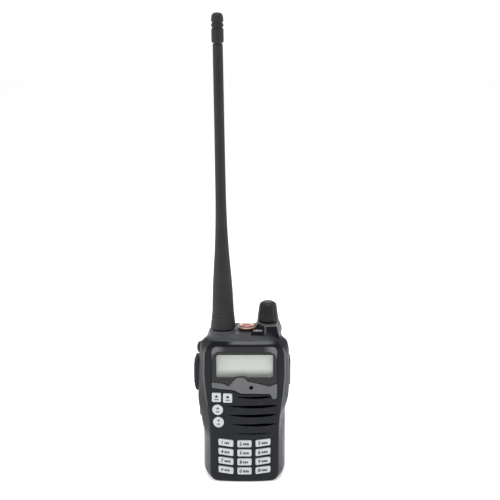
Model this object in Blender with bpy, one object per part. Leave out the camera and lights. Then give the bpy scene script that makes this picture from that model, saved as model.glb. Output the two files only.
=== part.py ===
"""Handheld aviation radio with a long whip antenna, a twelve key pad and a clip-on battery.

Sizes are in millimetres and become metres when each mesh is made. +Z is up, the front faces -Y,
and the origin is on the bottom face, which the radio stands on.
"""

import math

import bmesh
import bpy
import numpy as np
from mathutils import Matrix, Vector

MM = 0.001
GAP = 0.3  # what two pieces that touch leave between them

# Body, as half widths against height
HEIGHT = 95.0
FRONT_Y = -18.0
SEAM_Y = 6.5
BODY_LEVELS = (0, 0.7, 2.2, 5, 9, 20, 32, 38, 44, 50, 56, 62, 70, 79, 86, 88.4, 90.5, 92.5, 93.7, 95)
FRONT_HALF = ((0, 21.4), (32, 21.4), (44, 22.1), (56, 24.0), (70, 25.2), (84, 24.9), (87.5, 23.6),
              (90.5, 21.6), (92.5, 19.6), (95, 17))
WING_HALF = ((0, 24.3), (30, 24.0), (37, 23.3), (41.5, 23.5), (44.6, 24.7), (48, 26.1), (51.2, 27.2),
             (54.5, 27.8), (60, 28.1), (70, 28.5), (78, 28.0), (86, 27.8), (89.2, 27.4), (90.6, 26.5),
             (92.2, 23.8), (95, 18.5))
REAR_HALF = ((0, 25.7), (44, 25.7), (50, 26.2), (58, 27.4), (62, 27.8), (84.6, 27.4), (86, 26.7),
             (88.9, 23.4), (92, 22.6), (95, 19.0))
# How much further out the wing reaches on the left
LEFT_SWELL = ((28, 0), (32, 1.6), (36, 3.2), (41, 3.8), (46, 3.2), (52, 2.0), (58, 1.2), (66, 0.6), (90, 0))
CROWN = 1.5  # how far the front face falls back at its edges
WING_Y = -9.0
REAR_Y = -1.0
CORNER_DROP = 1.0
BOTTOM_CORNER = 5.8
BOTTOM_EDGE = 1.7
TOP_EDGE_Z = 92.5
TOP_EDGE_BACK = 1.0
DECK_FRONT_Y = -11.0
WALL = 1.8
FRONT_WALL = 2.8

# Display
WINDOW_HALF = 20.2
WINDOW_TOP = 88.4
WINDOW_CORNER = 3.4
WINDOW_Y = (-17.1, -16.3)
BEZEL_Y = (-17.3, -16.3)
POCKET_FLOOR_Y = -16.1
LCD_VIEW = (18.0, 67.3, 83.6)
LCD_SIZE = (19.0, 65.8, 85.6)
LCD_Y = (-14.9, -13.2)
BAND_TOP = ((-20.2, 65.6), (-12.4, 64.6), (-10.0, 62.9), (-5.9, 67.6), (-4.6, 68.5), (0.2, 68.5),
            (1.6, 66.4), (15.6, 62.9), (20.2, 64.9))
BAND_BOTTOM = ((20.2, 56.0), (19.6, 54.9), (18.5, 54.4), (17.4, 54.9), (16.8, 56.2), (15.8, 58.0),
               (-2.5, 57.9),
               (-6.2, 60.1), (-20.2, 61.9))
MIC_HOLE = (4.2, 62.0)

# Keys: the pad's twelve, two square ones and two round ones
KEY_PROUD = 0.8
KEY_TRAVEL = 0.5
KEY_CLEARANCE = 0.25
KEY_FLANGE_Y = (-13.9, -13.3)
KEY_FLANGE_RIM = 0.4
PAD_ROWS = (25.7, 19.7, 13.7, 7.7)
PAD_COLUMN = 11.6
PAD_SIDE_RISE = 0.6
CENTRE_KEY = ((-4.45, 2.25), (4.45, 2.25), (4.45, -2.25), (-4.45, -2.25))
SIDE_KEY = ((-4.7, 2.6), (4.7, 1.6), (4.7, -2.8), (-4.5, -1.6))
KEY_CORNER = 0.8
SQUARE_KEYS = ((-17.3, 55.9), (-10.4, 55.6))
SQUARE_KEY_HALF = (2.85, 2.95)
ROUND_KEYS = ((-16.6, 47.8), (-16.1, 39.7))
ROUND_KEY_RADIUS = 3.35

# Speaker grille: left end, right end, height of the ends and greatest slot width
SLOTS = ((-5.0, 17.0, 56.4, 1.8), (-10.4, 20.0, 50.4, 2.1), (-10.4, 19.6, 44.5, 2.1), (-8.0, 19.2, 38.4, 1.9),
         (-6.0, 16.0, 32.7, 0.9))
SLOT_SAG = 0.7
SPEAKER = (5.0, 44.3)
SPEAKER_RADIUS = 13.4

# Left side buttons, as (y low, y high, z low, z high) and the x of the outer face
PTT = (-7.5, 1.5, 56.8, 79.3)
PTT_FACE_X = -31.7
UPPER_SIDE_KEY = (-6.0, 1.0, 80.7, 87.4)
UPPER_SIDE_FACE_X = -29.6
LOWER_SIDE_KEY = (-6.0, 1.0, 38.9, 46.7)
LOWER_SIDE_FACE_X = -28.3
SIDE_CLEARANCE = 0.3

# Right side jack cover
COVER = (-6.7, 3.7, 60.3, 77.7)
COVER_X = (27.5, 28.8)
COVER_HINGE = (28.0, 3.5, 69.0)
JACKS = ((-1.5, 73.3, 1.9), (-1.5, 65.0, 1.5))

# Top deck
ANTENNA = (-13.2, -3.0)
ANTENNA_BASE_Z = 96.8
ANTENNA_LEAN = math.radians(0.87)
ANTENNA_TIP_Z = 290.7
COLLAR_RADIUS = 8.2
COLLAR_Z = 96.0
KNOB = (14.6, -1.5)
PEDESTAL_Z = 100.2
PEDESTAL = ((13.1, -11.0), (18.2, -11.0), (21.9, 1.0), (21.4, 6.2), (8.2, 6.2), (8.2, -3.0))
PEDESTAL_FLARE = 1.5
LAMP = (0.8, -0.3)
LEGEND = ((4.9, -10.7), (10.6, -10.7), (9.3, -8.9), (6.0, -5.9), (4.9, -5.9))

# Back
BLOCK_Y = (6.8, 16.5)
BLOCK_OUTLINE = ((26.4, 66.0), (26.4, 81.4), (22.9, 84.8), (22.5, 90.4), (20.4, 92.8), (17.0, 94.2))
BATTERY_HALF = 25.7
BATTERY_Z = (0.0, 64.0)
BATTERY_TOP_CORNER = 5.0
BATTERY_CASE_Y = (6.8, 11.2)
BATTERY_COVER_Y = (11.5, 18.0)
BATTERY_HINGE = (0.0, 7.4, 0.4)
LATCH_HINT = 0.4
CLIP_PIN = (21.2, 84.0)
CLIP_HALF = 8.8


# ---------------------------------------------------------------- materials

def material(name, colour, roughness, metallic=0.0):
    made = bpy.data.materials.new(name)
    made.use_nodes = True
    shader = made.node_tree.nodes["Principled BSDF"]
    shader.inputs["Base Color"].default_value = (*colour, 1)
    shader.inputs["Roughness"].default_value = roughness
    shader.inputs["Metallic"].default_value = metallic
    made.diffuse_color = (*colour, 1)
    return made


for old in list(bpy.data.objects):
    bpy.data.objects.remove(old)

CASE = material("case_plastic", (0.035, 0.036, 0.04), 0.5)
RUBBER = material("rubber", (0.02, 0.02, 0.022), 0.75)
GLOSS = material("gloss_black", (0.01, 0.01, 0.012), 0.1)
TRIM = material("grey_trim", (0.16, 0.16, 0.17), 0.35, 0.6)
LCD = material("lcd", (0.5, 0.53, 0.48), 0.3)
KEYCAP = material("key_white", (0.7, 0.72, 0.76), 0.4)
MAT = material("silicone", (0.12, 0.12, 0.13), 0.7)
BOARD = material("circuit_board", (0.02, 0.14, 0.05), 0.5)
STEEL = material("steel", (0.55, 0.55, 0.56), 0.3, 1.0)
BRASS = material("brass", (0.6, 0.45, 0.2), 0.3, 1.0)
CAST = material("cast_aluminium", (0.06, 0.06, 0.065), 0.55, 0.3)
CREAM = material("lamp_cream", (0.85, 0.8, 0.7), 0.15)
RED = material("lamp_red", (0.7, 0.06, 0.04), 0.25)
LABEL = material("legend_grey", (0.5, 0.5, 0.5), 0.4)
CLOTH = material("speaker_cloth", (0.01, 0.01, 0.01), 0.9)
CELL = material("cell_wrap", (0.05, 0.1, 0.3), 0.4)


# ---------------------------------------------------------------- mesh helpers

def link(name, mesh, where=(0, 0, 0)):
    obj = bpy.data.objects.new(name, mesh)
    obj.location = Vector(where) * MM
    bpy.context.scene.collection.objects.link(obj)
    return obj


def make(name, bm, look, origin=(0, 0, 0)):
    """Turns a bmesh in millimetres into a named object whose origin is the given point."""
    bmesh.ops.recalc_face_normals(bm, faces=bm.faces)
    bmesh.ops.translate(bm, vec=-Vector(origin), verts=bm.verts)
    bmesh.ops.scale(bm, vec=(MM, MM, MM), verts=bm.verts)
    mesh = bpy.data.meshes.new(name)
    bm.to_mesh(mesh)
    bm.free()
    if look:
        mesh.materials.append(look)
        mesh.shade_smooth()
        mesh.set_sharp_from_angle(angle=math.radians(30))
    return link(name, mesh, origin)


def boolean(target, bm, operation="DIFFERENCE"):
    """Cuts the bodies in bm from target, or joins them to it."""
    helper = make(f"{target.name}_{operation.lower()}_{len(target.modifiers)}", bm, None)
    helper.hide_render = True
    helper.display_type = "WIRE"
    step = target.modifiers.new(helper.name, "BOOLEAN")
    step.operation = operation
    step.solver = "EXACT"
    step.object = helper


def add_rings(bm, rings):
    """A closed body through rings of points, each with the same number of points."""
    loops = [[bm.verts.new(point) for point in ring] for ring in rings]
    count = len(loops[0])
    for low, high in zip(loops, loops[1:]):
        for i in range(count):
            j = (i + 1) % count
            bm.faces.new((low[i], low[j], high[j], high[i]))
    bm.faces.new(loops[0][::-1])
    bm.faces.new(loops[-1])
    return bm


def add_loft(bm, rings):
    """The same for sections whose sides aren't flat, which are split into triangles."""
    add_rings(bm, rings)
    bmesh.ops.triangulate(bm, faces=bm.faces)
    return bm


def in_space(u, v, w, axis):
    """The point with w along axis and u, v along the other two, in X, Y, Z order."""
    return {"X": (w, u, v), "Y": (u, w, v), "Z": (u, v, w)}[axis]


def add_prism(bm, outline, low, high, axis="Y"):
    return add_rings(bm, [[in_space(u, v, w, axis) for u, v in outline] for w in (low, high)])


def add_box(bm, x, y, z):
    return add_prism(bm, ((x[0], y[0]), (x[1], y[0]), (x[1], y[1]), (x[0], y[1])), z[0], z[1], "Z")


def add_turned(bm, profile, centre, axis="Z", steps=24):
    """A turned body: profile is (radius, position along axis), and it starts and ends on the axis."""
    (r0, w0), *middle, (r1, w1) = profile
    loops = []
    for radius, w in middle:
        turn = [2 * math.pi * i / steps for i in range(steps)]
        loops.append([bm.verts.new(in_space(centre[0] + radius * math.cos(t), centre[1] + radius * math.sin(t), w, axis))
                      for t in turn])
    first = bm.verts.new(in_space(*centre, w0, axis))
    last = bm.verts.new(in_space(*centre, w1, axis))
    for i in range(steps):
        j = (i + 1) % steps
        for low, high in zip(loops, loops[1:]):
            bm.faces.new((low[i], low[j], high[j], high[i]))
        bm.faces.new((first, loops[0][j], loops[0][i]))
        bm.faces.new((last, loops[-1][i], loops[-1][j]))
    return bm


def add_cylinder(bm, centre, radius, low, high, axis="Z", steps=24):
    return add_turned(bm, ((0, low), (radius, low), (radius, high), (0, high)), centre, axis, steps)


def rounded(corners, radius, steps=2):
    """The outline with each corner replaced by an arc."""
    points = []
    for i, corner in enumerate(corners):
        here = Vector(corner)
        before = (Vector(corners[i - 1]) - here).normalized()
        after = (Vector(corners[(i + 1) % len(corners)]) - here).normalized()
        half = before.angle(after) / 2
        centre = here + (before + after).normalized() * radius / math.sin(half)
        start = here + before * radius / math.tan(half) - centre
        end = here + after * radius / math.tan(half) - centre
        turn = start.angle_signed(end)
        for k in range(steps + 1):
            points.append(centre + Matrix.Rotation(-turn * k / steps, 2) @ start)
    return [tuple(p) for p in points]


def rectangle(low_u, high_u, low_v, high_v, radius=0.0, steps=3):
    corners = ((low_u, low_v), (high_u, low_v), (high_u, high_v), (low_u, high_v))
    return rounded(corners, radius, steps) if radius else list(corners)


def offset(outline, by):
    """The outline moved outward by a distance, along the mean of each corner's two normals."""
    points = [Vector(p) for p in outline]
    area = sum(a.cross(b) for a, b in zip(points, points[1:] + points[:1]))
    moved = []
    for i, here in enumerate(points):
        before = (here - points[i - 1]).normalized()
        after = (points[(i + 1) % len(points)] - here).normalized()
        normal = Vector((before.y + after.y, -before.x - after.x)).normalized()
        spread = max(0.4, normal.dot(Vector((before.y, -before.x))))
        moved.append(tuple(here + normal * math.copysign(1 / spread, area) * by))
    return moved


def add_pillow(bm, outline, steps, axis):
    """A button-like body: steps are (position along axis, inset of the outline there)."""
    return add_rings(bm, [[in_space(u, v, w, axis) for u, v in offset(outline, -inset)] for w, inset in steps])


def coil(name, look, radius, wire, turns, start, end, axis, per_turn=10):
    """A round wire wound in a helix between two positions along axis; start is (u, v, w)."""
    curve = bpy.data.curves.new(name, "CURVE")
    curve.dimensions = "3D"
    curve.bevel_depth = wire * MM
    curve.bevel_resolution = 1
    curve.use_fill_caps = True
    count = int(turns * per_turn) + 1
    line = curve.splines.new("POLY")
    line.points.add(count - 1)
    for i in range(count):
        turn = 2 * math.pi * i / per_turn
        along = start[2] + (end - start[2]) * i / (count - 1)
        point = in_space(start[0] + radius * math.cos(turn), start[1] + radius * math.sin(turn), along, axis)
        line.points[i].co = (*(Vector(point) * MM), 1)
    curve.materials.append(look)
    obj = bpy.data.objects.new(name, curve)
    bpy.context.scene.collection.objects.link(obj)
    return obj


# ---------------------------------------------------------------- the body's outer form

def at(table, z):
    return float(np.interp(z, [row[0] for row in table], [row[1] for row in table]))


def corner_inset(z):
    """How far the rounded lower corners pull the sides in at this height."""
    up = max(0.0, BOTTOM_CORNER - z)
    return BOTTOM_CORNER - math.sqrt(BOTTOM_CORNER**2 - up**2)


def face_y(z):
    """The front face's y on the centre line: rounded under, and sloping back to the deck on top."""
    if z < BOTTOM_EDGE:
        return FRONT_Y + BOTTOM_EDGE - math.sqrt(BOTTOM_EDGE**2 - (BOTTOM_EDGE - z) ** 2)
    edge_y = FRONT_Y + TOP_EDGE_BACK
    return float(np.interp(z, (88, TOP_EDGE_Z, HEIGHT), (FRONT_Y, edge_y, DECK_FRONT_Y)))


def front_half(z):
    return at(FRONT_HALF, z) - corner_inset(z)


def front_y(x, z):
    """The front face's y at a point."""
    return face_y(z) + CROWN * min(1.0, abs(x) / front_half(z)) ** 2


def body_ring(z, wall=0.0, front_wall=0.0, back=SEAM_Y):
    """The outer section at a height, or the cavity's when walls are given, as a closed ring of points."""
    edge = front_half(z) - 0.8 * wall
    wing = at(WING_HALF, z) - corner_inset(z) - wall
    rear = at(REAR_HALF, z) - corner_inset(z) - wall
    y = face_y(z) + front_wall
    corner_y = y + CROWN + CORNER_DROP * (0.4 if wall else 1)
    wing_y = max(WING_Y, corner_y + 1.5)
    swell = 0.0 if wall else at(LEFT_SWELL, z)
    sides = []
    for more in (swell, 0.0):
        rear_x = rear + more * 0.3
        sides.append([(edge * 0.4, y + CROWN * 0.16), (edge * 0.75, y + CROWN * 0.5625),
                      (edge - 1.0, y + CROWN * 0.92), (edge, corner_y), (wing + more, wing_y),
                      (rear_x, max(REAR_Y, wing_y + 2)), (rear_x, back)])
    left = [(-x, y) for x, y in reversed(sides[0])]
    return [(x, y, z) for x, y in left + [(0.0, y)] + sides[1]]


# ---------------------------------------------------------------- front case

def pad_keys():
    """(name, outline) of the twelve pad keys, in rows from the top."""
    names = ("1", "2", "3", "4", "5", "6", "7", "8", "9", "star", "0", "hash")
    for i, name in enumerate(names):
        row, column = divmod(i, 3)
        side = column - 1
        corners = CENTRE_KEY if side == 0 else [(-side * x, z) for x, z in SIDE_KEY]
        x0, z0 = side * PAD_COLUMN, PAD_ROWS[row] + PAD_SIDE_RISE * abs(side)
        yield f"key_{name}", rounded([(x0 + x, z0 + z) for x, z in corners], KEY_CORNER)


def all_keys():
    yield from pad_keys()
    for name, (x, z) in zip(("key_menu", "key_band"), SQUARE_KEYS):
        w, h = SQUARE_KEY_HALF
        yield name, rounded(((x - w, z + h), (x + w, z + h), (x + w, z - h), (x - w, z - h)), KEY_CORNER)
    for name, (x, z) in zip(("key_up", "key_down"), ROUND_KEYS):
        turn = [2 * math.pi * i / 16 for i in range(16)]
        yield name, [(x + ROUND_KEY_RADIUS * math.cos(t), z + ROUND_KEY_RADIUS * math.sin(t)) for t in turn]


def flange_of(outline):
    """The rectangle behind a key that is too tall to come out through its hole."""
    xs, zs = [p[0] for p in outline], [p[1] for p in outline]
    return rectangle(min(xs) + 0.5, max(xs) - 0.5, min(zs) - KEY_FLANGE_RIM * 0.5, max(zs) + KEY_FLANGE_RIM * 0.5)


def slot_outline(left, right, z, width, points=8):
    """A crescent that is widest in the middle and hangs below its ends."""
    middle, half = (left + right) / 2, (right - left) / 2
    upper, lower = [], []
    for i in range(points + 1):
        t = math.cos(math.pi * i / points)
        sag = z - SLOT_SAG * (1 - t * t)
        thick = width / 2 * math.sqrt(max(0.0, 1 - t * t)) * (0.75 + 0.25 * t)
        if 0 < i < points:
            upper.append((middle + half * t, sag + thick))
            lower.append((middle + half * t, sag - thick))
    return [(right, z), *upper, (left, z), *reversed(lower)]


def side_outline(box, grow=0.0, radius=1.6):
    y0, y1, z0, z1 = box
    return rectangle(y0 - grow, y1 + grow, z0 - grow, z1 + grow, radius + grow)


def front_case():
    case = make("front_case", add_loft(bmesh.new(), [body_ring(z) for z in BODY_LEVELS]), CASE)

    # Knob pedestal and antenna collar stand on the deck.
    foot = offset(PEDESTAL, PEDESTAL_FLARE)
    foot = [(x, min(y, SEAM_Y - 0.05)) for x, y in foot]
    base = offset(PEDESTAL, PEDESTAL_FLARE * 2.2)
    base = [(min(x, 23.0), min(max(y, -13.4), SEAM_Y - 0.05)) for x, y in base]
    rings = [[(x, y, z) for x, y in ring] for ring, z in ((base, 91.0), (foot, 95.6), (PEDESTAL, PEDESTAL_Z))]
    boolean(case, add_loft(bmesh.new(), rings), "UNION")
    collar = ((0, 91), (COLLAR_RADIUS + 0.6, 91), (COLLAR_RADIUS + 0.2, 95.2), (COLLAR_RADIUS - 0.6, COLLAR_Z),
              (0, COLLAR_Z))
    boolean(case, add_turned(bmesh.new(), collar, ANTENNA), "UNION")

    # The hollow inside, open at the back.
    levels = [z for z in BODY_LEVELS if 2 <= z <= 90.5]
    inner = [body_ring(z, WALL, FRONT_WALL, SEAM_Y + 2) for z in levels]
    top = [(x * 0.94, max(y, -13.0), 92.4) for x, y, _ in inner[-1]]
    boolean(case, add_loft(bmesh.new(), [*inner, top]))

    # Display pocket, display opening and microphone hole.
    high = WINDOW_TOP + 0.4
    pocket = [(20.6, high), (-20.6, high), (-20.6, 61.6), *reversed(BAND_BOTTOM[1:-1])]
    pocket = [(x, z - 0.3) if z < 61 else (x, z) for x, z in pocket] + [(20.6, 55.6)]
    boolean(case, add_prism(bmesh.new(), pocket, FRONT_Y - 3, POCKET_FLOOR_Y))
    half, low, high = LCD_VIEW
    openings = add_prism(bmesh.new(), rectangle(-half - 0.3, half + 0.3, low - 0.4, high + 0.4), -19, -12.5)
    add_cylinder(openings, MIC_HOLE, 0.8, -19, -12.5, "Y", 10)
    for slot in SLOTS:
        add_prism(openings, slot_outline(*slot), -20, -13)
    boolean(case, openings)

    # Room inside for the keys' flanges, the speaker cloth and the display, then the key holes.
    for x, z in (((-17.2, 17.2), (4.9, 29.9)), ((-20.5, -12.5), (35.1, 60.1)), ((-13.0, -6.7), (51.9, 59.9))):
        boolean(case, add_box(bmesh.new(), x, (-14.3, -11.1), z))
    boolean(case, add_box(bmesh.new(), (-11.4, 20.3), (-14.2, -11.2), (31.0, 57.8)))
    boolean(case, add_box(bmesh.new(), (-19.4, 19.4), (-15.3, -11.3), (65.4, 86.0)))
    holes = bmesh.new()
    for _, outline in all_keys():
        add_prism(holes, offset(outline, KEY_CLEARANCE), -20, -12.2)
    boolean(case, holes)

    # Side buttons on the left, jack recess and jack holes on the right.
    sides = bmesh.new()
    for box in (PTT, UPPER_SIDE_KEY, LOWER_SIDE_KEY):
        add_prism(sides, side_outline(box, SIDE_CLEARANCE), -34, -18, "X")
    y0, y1, z0, z1 = COVER
    add_prism(sides, side_outline((y0, y1 + 1.2, z0, z1), GAP, 2.0), COVER_X[0] - 0.25, 34, "X")
    boolean(case, sides)
    tops = bmesh.new()
    for y, z, radius in JACKS:
        add_cylinder(tops, (y, z), radius, 24, 30, "X", 16)
    add_cylinder(tops, ANTENNA, 3.5, 88, 99, "Z", 20)
    add_cylinder(tops, LAMP, 4.2, 88, 99, "Z", 20)
    add_turned(tops, ((0, 88), (5.2, 88), (5.2, 97.9), (4.4, 97.9), (4.4, 103), (0, 103)), KNOB, "Z", 24)
    boolean(case, tops)


# ---------------------------------------------------------------- display

def display():
    glass = [(x, z + GAP) for x, z in BAND_TOP]
    top = rounded(((WINDOW_HALF, 80), (WINDOW_HALF, WINDOW_TOP), (-WINDOW_HALF, WINDOW_TOP), (-WINDOW_HALF, 80)),
                  WINDOW_CORNER, 3)
    top = [p for p in top if p[1] > WINDOW_TOP - WINDOW_CORNER - 0.01]
    make("display_window", add_prism(bmesh.new(), glass + top, *WINDOW_Y), GLOSS)
    band = make("display_bezel", add_prism(bmesh.new(), [*BAND_TOP, *BAND_BOTTOM], *BEZEL_Y), TRIM)
    boolean(band, add_cylinder(bmesh.new(), MIC_HOLE, 1.3, -19, -15, "Y", 14))
    half, low, high = LCD_SIZE
    make("lcd_panel", add_box(bmesh.new(), (-half, half), LCD_Y, (low, high)), LCD)


# ---------------------------------------------------------------- keys

def keys():
    for name, outline in all_keys():
        x0 = sum(p[0] for p in outline) / len(outline)
        z0 = sum(p[1] for p in outline) / len(outline)
        top = offset(outline, -0.35)
        rings = [[(x, KEY_FLANGE_Y[0] + 0.1, z) for x, z in outline],
                 [(x, front_y(x, z) - KEY_PROUD * 0.6, z) for x, z in outline],
                 [(x, front_y(x, z) - KEY_PROUD, z) for x, z in top]]
        key = make(name, add_rings(bmesh.new(), rings), KEYCAP, (x0, KEY_FLANGE_Y[1], z0))
        boolean(key, add_prism(bmesh.new(), flange_of(outline), *KEY_FLANGE_Y), "UNION")


def keypad_mat():
    outline = ((-20.0, 34.5), (-20.0, 59.6), (-6.8, 59.6), (-6.8, 52.4), (-12.4, 52.4), (-12.4, 34.5),
               (-9.0, 30.2), (17.4, 30.2), (17.4, 4.0), (-17.4, 4.0), (-17.4, 30.2))
    mat = make("keypad_mat", add_prism(bmesh.new(), outline, -12.2, -11.3), MAT)
    domes = bmesh.new()
    for _, shape in all_keys():
        x = sum(p[0] for p in shape) / len(shape)
        z = sum(p[1] for p in shape) / len(shape)
        add_turned(domes, ((0, -11.6), (1.7, -11.6), (1.2, -12.5), (0, -12.5)), (x, z), "Y", 8)
    boolean(mat, domes, "UNION")


# ---------------------------------------------------------------- electronics

def electronics():
    board = make("main_board", add_box(bmesh.new(), (-18.8, 18.8), (-6.0, -4.8), (4.0, 86.0)), BOARD)
    boolean(board, add_cylinder(bmesh.new(), (-15.5, 8.0), 1.2, -8, -3, "Y", 10))
    can = make("shield_can", add_box(bmesh.new(), (-15, 15), (-4.5, -0.6), (40, 84)), STEEL)
    boolean(can, add_box(bmesh.new(), (-14.6, 14.6), (-5, -1.0), (40.4, 83.6)))
    make("side_switch_board", add_box(bmesh.new(), (-19.3, -18.5), (-4.4, 3.6), (37, 85)), BOARD)

    profile = ((0, -13.4), (SPEAKER_RADIUS, -13.4), (SPEAKER_RADIUS, -12.0), (11.8, -11.2), (9.4, -10.6),
               (9.4, -8.4), (0, -8.4))
    speaker = make("speaker", add_turned(bmesh.new(), profile, SPEAKER, "Y", 28), STEEL)
    cone = ((0, -12.2), (3.0, -12.2), (11.4, -13.0), (11.4, -15), (0, -15))
    boolean(speaker, add_turned(bmesh.new(), cone, SPEAKER, "Y", 28))
    cloth = ((-11.0, 31.2), (19.9, 31.2), (19.9, 57.4), (-5.6, 57.4), (-5.6, 51.8), (-11.0, 51.8))
    make("speaker_cloth", add_prism(bmesh.new(), cloth, -13.95, -13.7), CLOTH)
    make("microphone", add_cylinder(bmesh.new(), MIC_HOLE, 2.0, -14.8, -12.6, "Y", 16), STEEL)

    jacks = make("accessory_jacks", add_box(bmesh.new(), (20.0, 25.5), (-6.2, 3.2), (61.0, 77.2)), RUBBER)
    bores = bmesh.new()
    for y, z, radius in JACKS:
        add_cylinder(bores, (y, z), radius - 0.15, 22, 28, "X", 16)
    boolean(jacks, bores)

    block = add_box(bmesh.new(), (-9.6, 9.6), (1.5, 6.2), (8.2, 13.8))
    terminals = make("battery_terminals", block, BRASS)
    for x in (-6, 0, 6):
        boolean(terminals, add_box(bmesh.new(), (x - 1.1, x + 1.1), (6.0, 6.6), (9.4, 12.6)), "UNION")


# ---------------------------------------------------------------- top deck

def antenna():
    x, y = ANTENNA
    jack = ((0, 89.4), (4.6, 89.4), (4.6, 92.1), (3.1, 92.1), (3.1, 102.4), (1.1, 102.4), (1.1, 95.5), (0, 95.5))
    make("antenna_jack", add_turned(bmesh.new(), jack, ANTENNA, steps=20), BRASS)

    plug = ((0, 97.2), (0.65, 97.2), (0.65, 103.4), (3.5, 103.4), (3.5, 97.3), (4.1, 97.3), (4.1, 105.2), (0, 105.2))
    make("antenna_plug", add_turned(bmesh.new(), plug, ANTENNA, steps=20), BRASS, (x, y, ANTENNA_BASE_Z))

    sleeve = ((0, 105.6), (4.4, 105.6), (4.4, ANTENNA_BASE_Z), (7.5, ANTENNA_BASE_Z), (7.7, 97.6), (7.2, 101.6),
              (6.9, 104.2), (6.5, 104.4), (6.5, 105.0), (6.85, 105.2), (6.8, 107.0), (6.4, 107.2), (6.4, 107.8),
              (6.75, 108.0), (6.4, 116), (6.0, 124), (5.4, 132), (4.75, 140), (4.25, 148), (3.85, 156), (3.5, 164),
              (3.25, 178), (3.1, 200), (3.05, 235), (3.0, 272.4), (0, 272.4))
    tip = ((0, 272.8), (3.1, 272.8), (3.6, 273.6), (3.6, 281.4), (3.1, 281.8), (3.1, 282.8), (3.6, 283.2), (3.6, 285.2),
           (3.1, 285.6), (3.1, 286.4), (3.6, 286.8), (3.5, 289.0), (2.6, 290.3), (0, ANTENNA_TIP_Z))
    for name, profile in (("antenna_whip", sleeve), ("antenna_tip", tip)):
        body = add_turned(bmesh.new(), profile, ANTENNA, steps=20)
        for vert in body.verts:
            rise = max(0.0, vert.co.z - 109.0)
            vert.co.x -= rise * math.tan(ANTENNA_LEAN) + min(1.0, rise / 30) * 0.1
        make(name, body, RUBBER, (x, y, ANTENNA_BASE_Z))


def knob():
    x, y = KNOB
    body = ((0, 113.2), (3.4, 113.2), (5.2, 111.9), (5.9, 106.0), (6.5, 102.6), (6.3, 100.9), (5.0, 100.9),
            (5.0, 102.4), (3.35, 102.4), (3.35, 109.2), (0, 109.2))
    make("tuning_knob", add_turned(bmesh.new(), body, KNOB, steps=24), RUBBER, (x, y, 100.9))
    make("encoder_shaft", add_cylinder(bmesh.new(), KNOB, 3.0, 91.6, 108.8, steps=20), STEEL, (x, y, 100.9))
    case = ((0, 91.2), (3.35, 91.2), (3.35, 101.8), (4.1, 101.8), (4.1, 97.4), (4.9, 97.4), (4.9, 88.6), (0, 88.6))
    make("encoder_body", add_turned(bmesh.new(), case, KNOB, steps=20), STEEL)


def lamp():
    lens = ((0, 97.4), (3.4, 97.2), (4.3, 96.2), (4.3, 95.3), (5.2, 95.3), (5.2, 96.2), (4.7, 97.2), (3.6, 98.1),
            (1.8, 98.6), (0, 98.7))
    make("lamp_lens", add_turned(bmesh.new(), lens, LAMP, steps=24), CREAM)
    ring = make("lamp_reflector", add_cylinder(bmesh.new(), LAMP, 3.8, 92.6, 96.0, steps=20), RED)
    boolean(ring, add_cylinder(bmesh.new(), LAMP, 2.5, 90, 98, steps=20))
    make("lamp_led", add_turned(bmesh.new(), ((0, 91.5), (1.8, 91.5), (1.8, 95.4), (0, 96.4)), LAMP, steps=14), RED)
    make("legend_plate", add_prism(bmesh.new(), LEGEND, HEIGHT + GAP, HEIGHT + 0.9, "Z"), LABEL)


# ---------------------------------------------------------------- side controls

def side_controls():
    for name, box, face, inner, look in (
        ("ptt_button", PTT, PTT_FACE_X, -24.0, RUBBER),
        ("side_key_upper", UPPER_SIDE_KEY, UPPER_SIDE_FACE_X, -24.0, RUBBER),
        ("side_key_lower", LOWER_SIDE_KEY, LOWER_SIDE_FACE_X, -20.9, RUBBER),
    ):
        outline = side_outline(box)
        centre = (inner, (box[0] + box[1]) / 2, (box[2] + box[3]) / 2)
        steps = ((inner, 0), (face + 1.3, 0), (face + 0.5, 0.45), (face, 1.4))
        button = make(name, add_pillow(bmesh.new(), outline, steps, "X"), look, centre)
        y0, y1, z0, z1 = box
        flange = add_box(bmesh.new(), (inner - 0.9, inner + 0.1), (y0 - 0.8, y1 + 0.8), (z0 + 0.9, z1 - 1.5))
        boolean(button, flange, "UNION")

    outline = side_outline(COVER, 0, 2.0)
    steps = ((COVER_X[0], 0), (COVER_X[1] - 0.5, 0), (COVER_X[1], 0.7))
    make("jack_cover", add_pillow(bmesh.new(), outline, steps, "X"), RUBBER, COVER_HINGE)


# ---------------------------------------------------------------- back

def mirrored(half_outline):
    return [*half_outline, *[(-x, z) for x, z in reversed(half_outline)]]


def rear_chassis():
    outline = mirrored(BLOCK_OUTLINE)
    steps = ((BLOCK_Y[0], 0), (14.6, 0), (16.0, 0.7), (BLOCK_Y[1], 1.6))
    rings = [[(x, y, z) for x, z in offset(outline, -inset)] for y, inset in steps]
    chassis = make("rear_chassis", add_rings(bmesh.new(), rings), CAST)
    boolean(chassis, add_prism(bmesh.new(), offset(outline, -2.0), 6.0, 14.3))
    boolean(chassis, add_box(bmesh.new(), (-22.2, 22.2), (4.3, 6.4), (4.9, 67.8)), "UNION")
    boolean(chassis, add_box(bmesh.new(), (-21.8, 21.8), (4.6, 8.2), (66.3, 67.9)), "UNION")
    cuts = add_box(bmesh.new(), (-10.0, 10.0), (3, 9), (7.8, 14.2))
    for x in (-1, 1):
        add_cylinder(cuts, (x * 5.5, 74.0), 1.5, 12, 18, "Y", 12)
        seat = ((0, 12), (1.4, 12), (1.4, 15.0), (2.5, 15.0), (2.5, 18), (0, 18))
        add_turned(cuts, seat, (x * 18.4, 86.0), "Y", 14)
    boolean(chassis, cuts)


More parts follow.
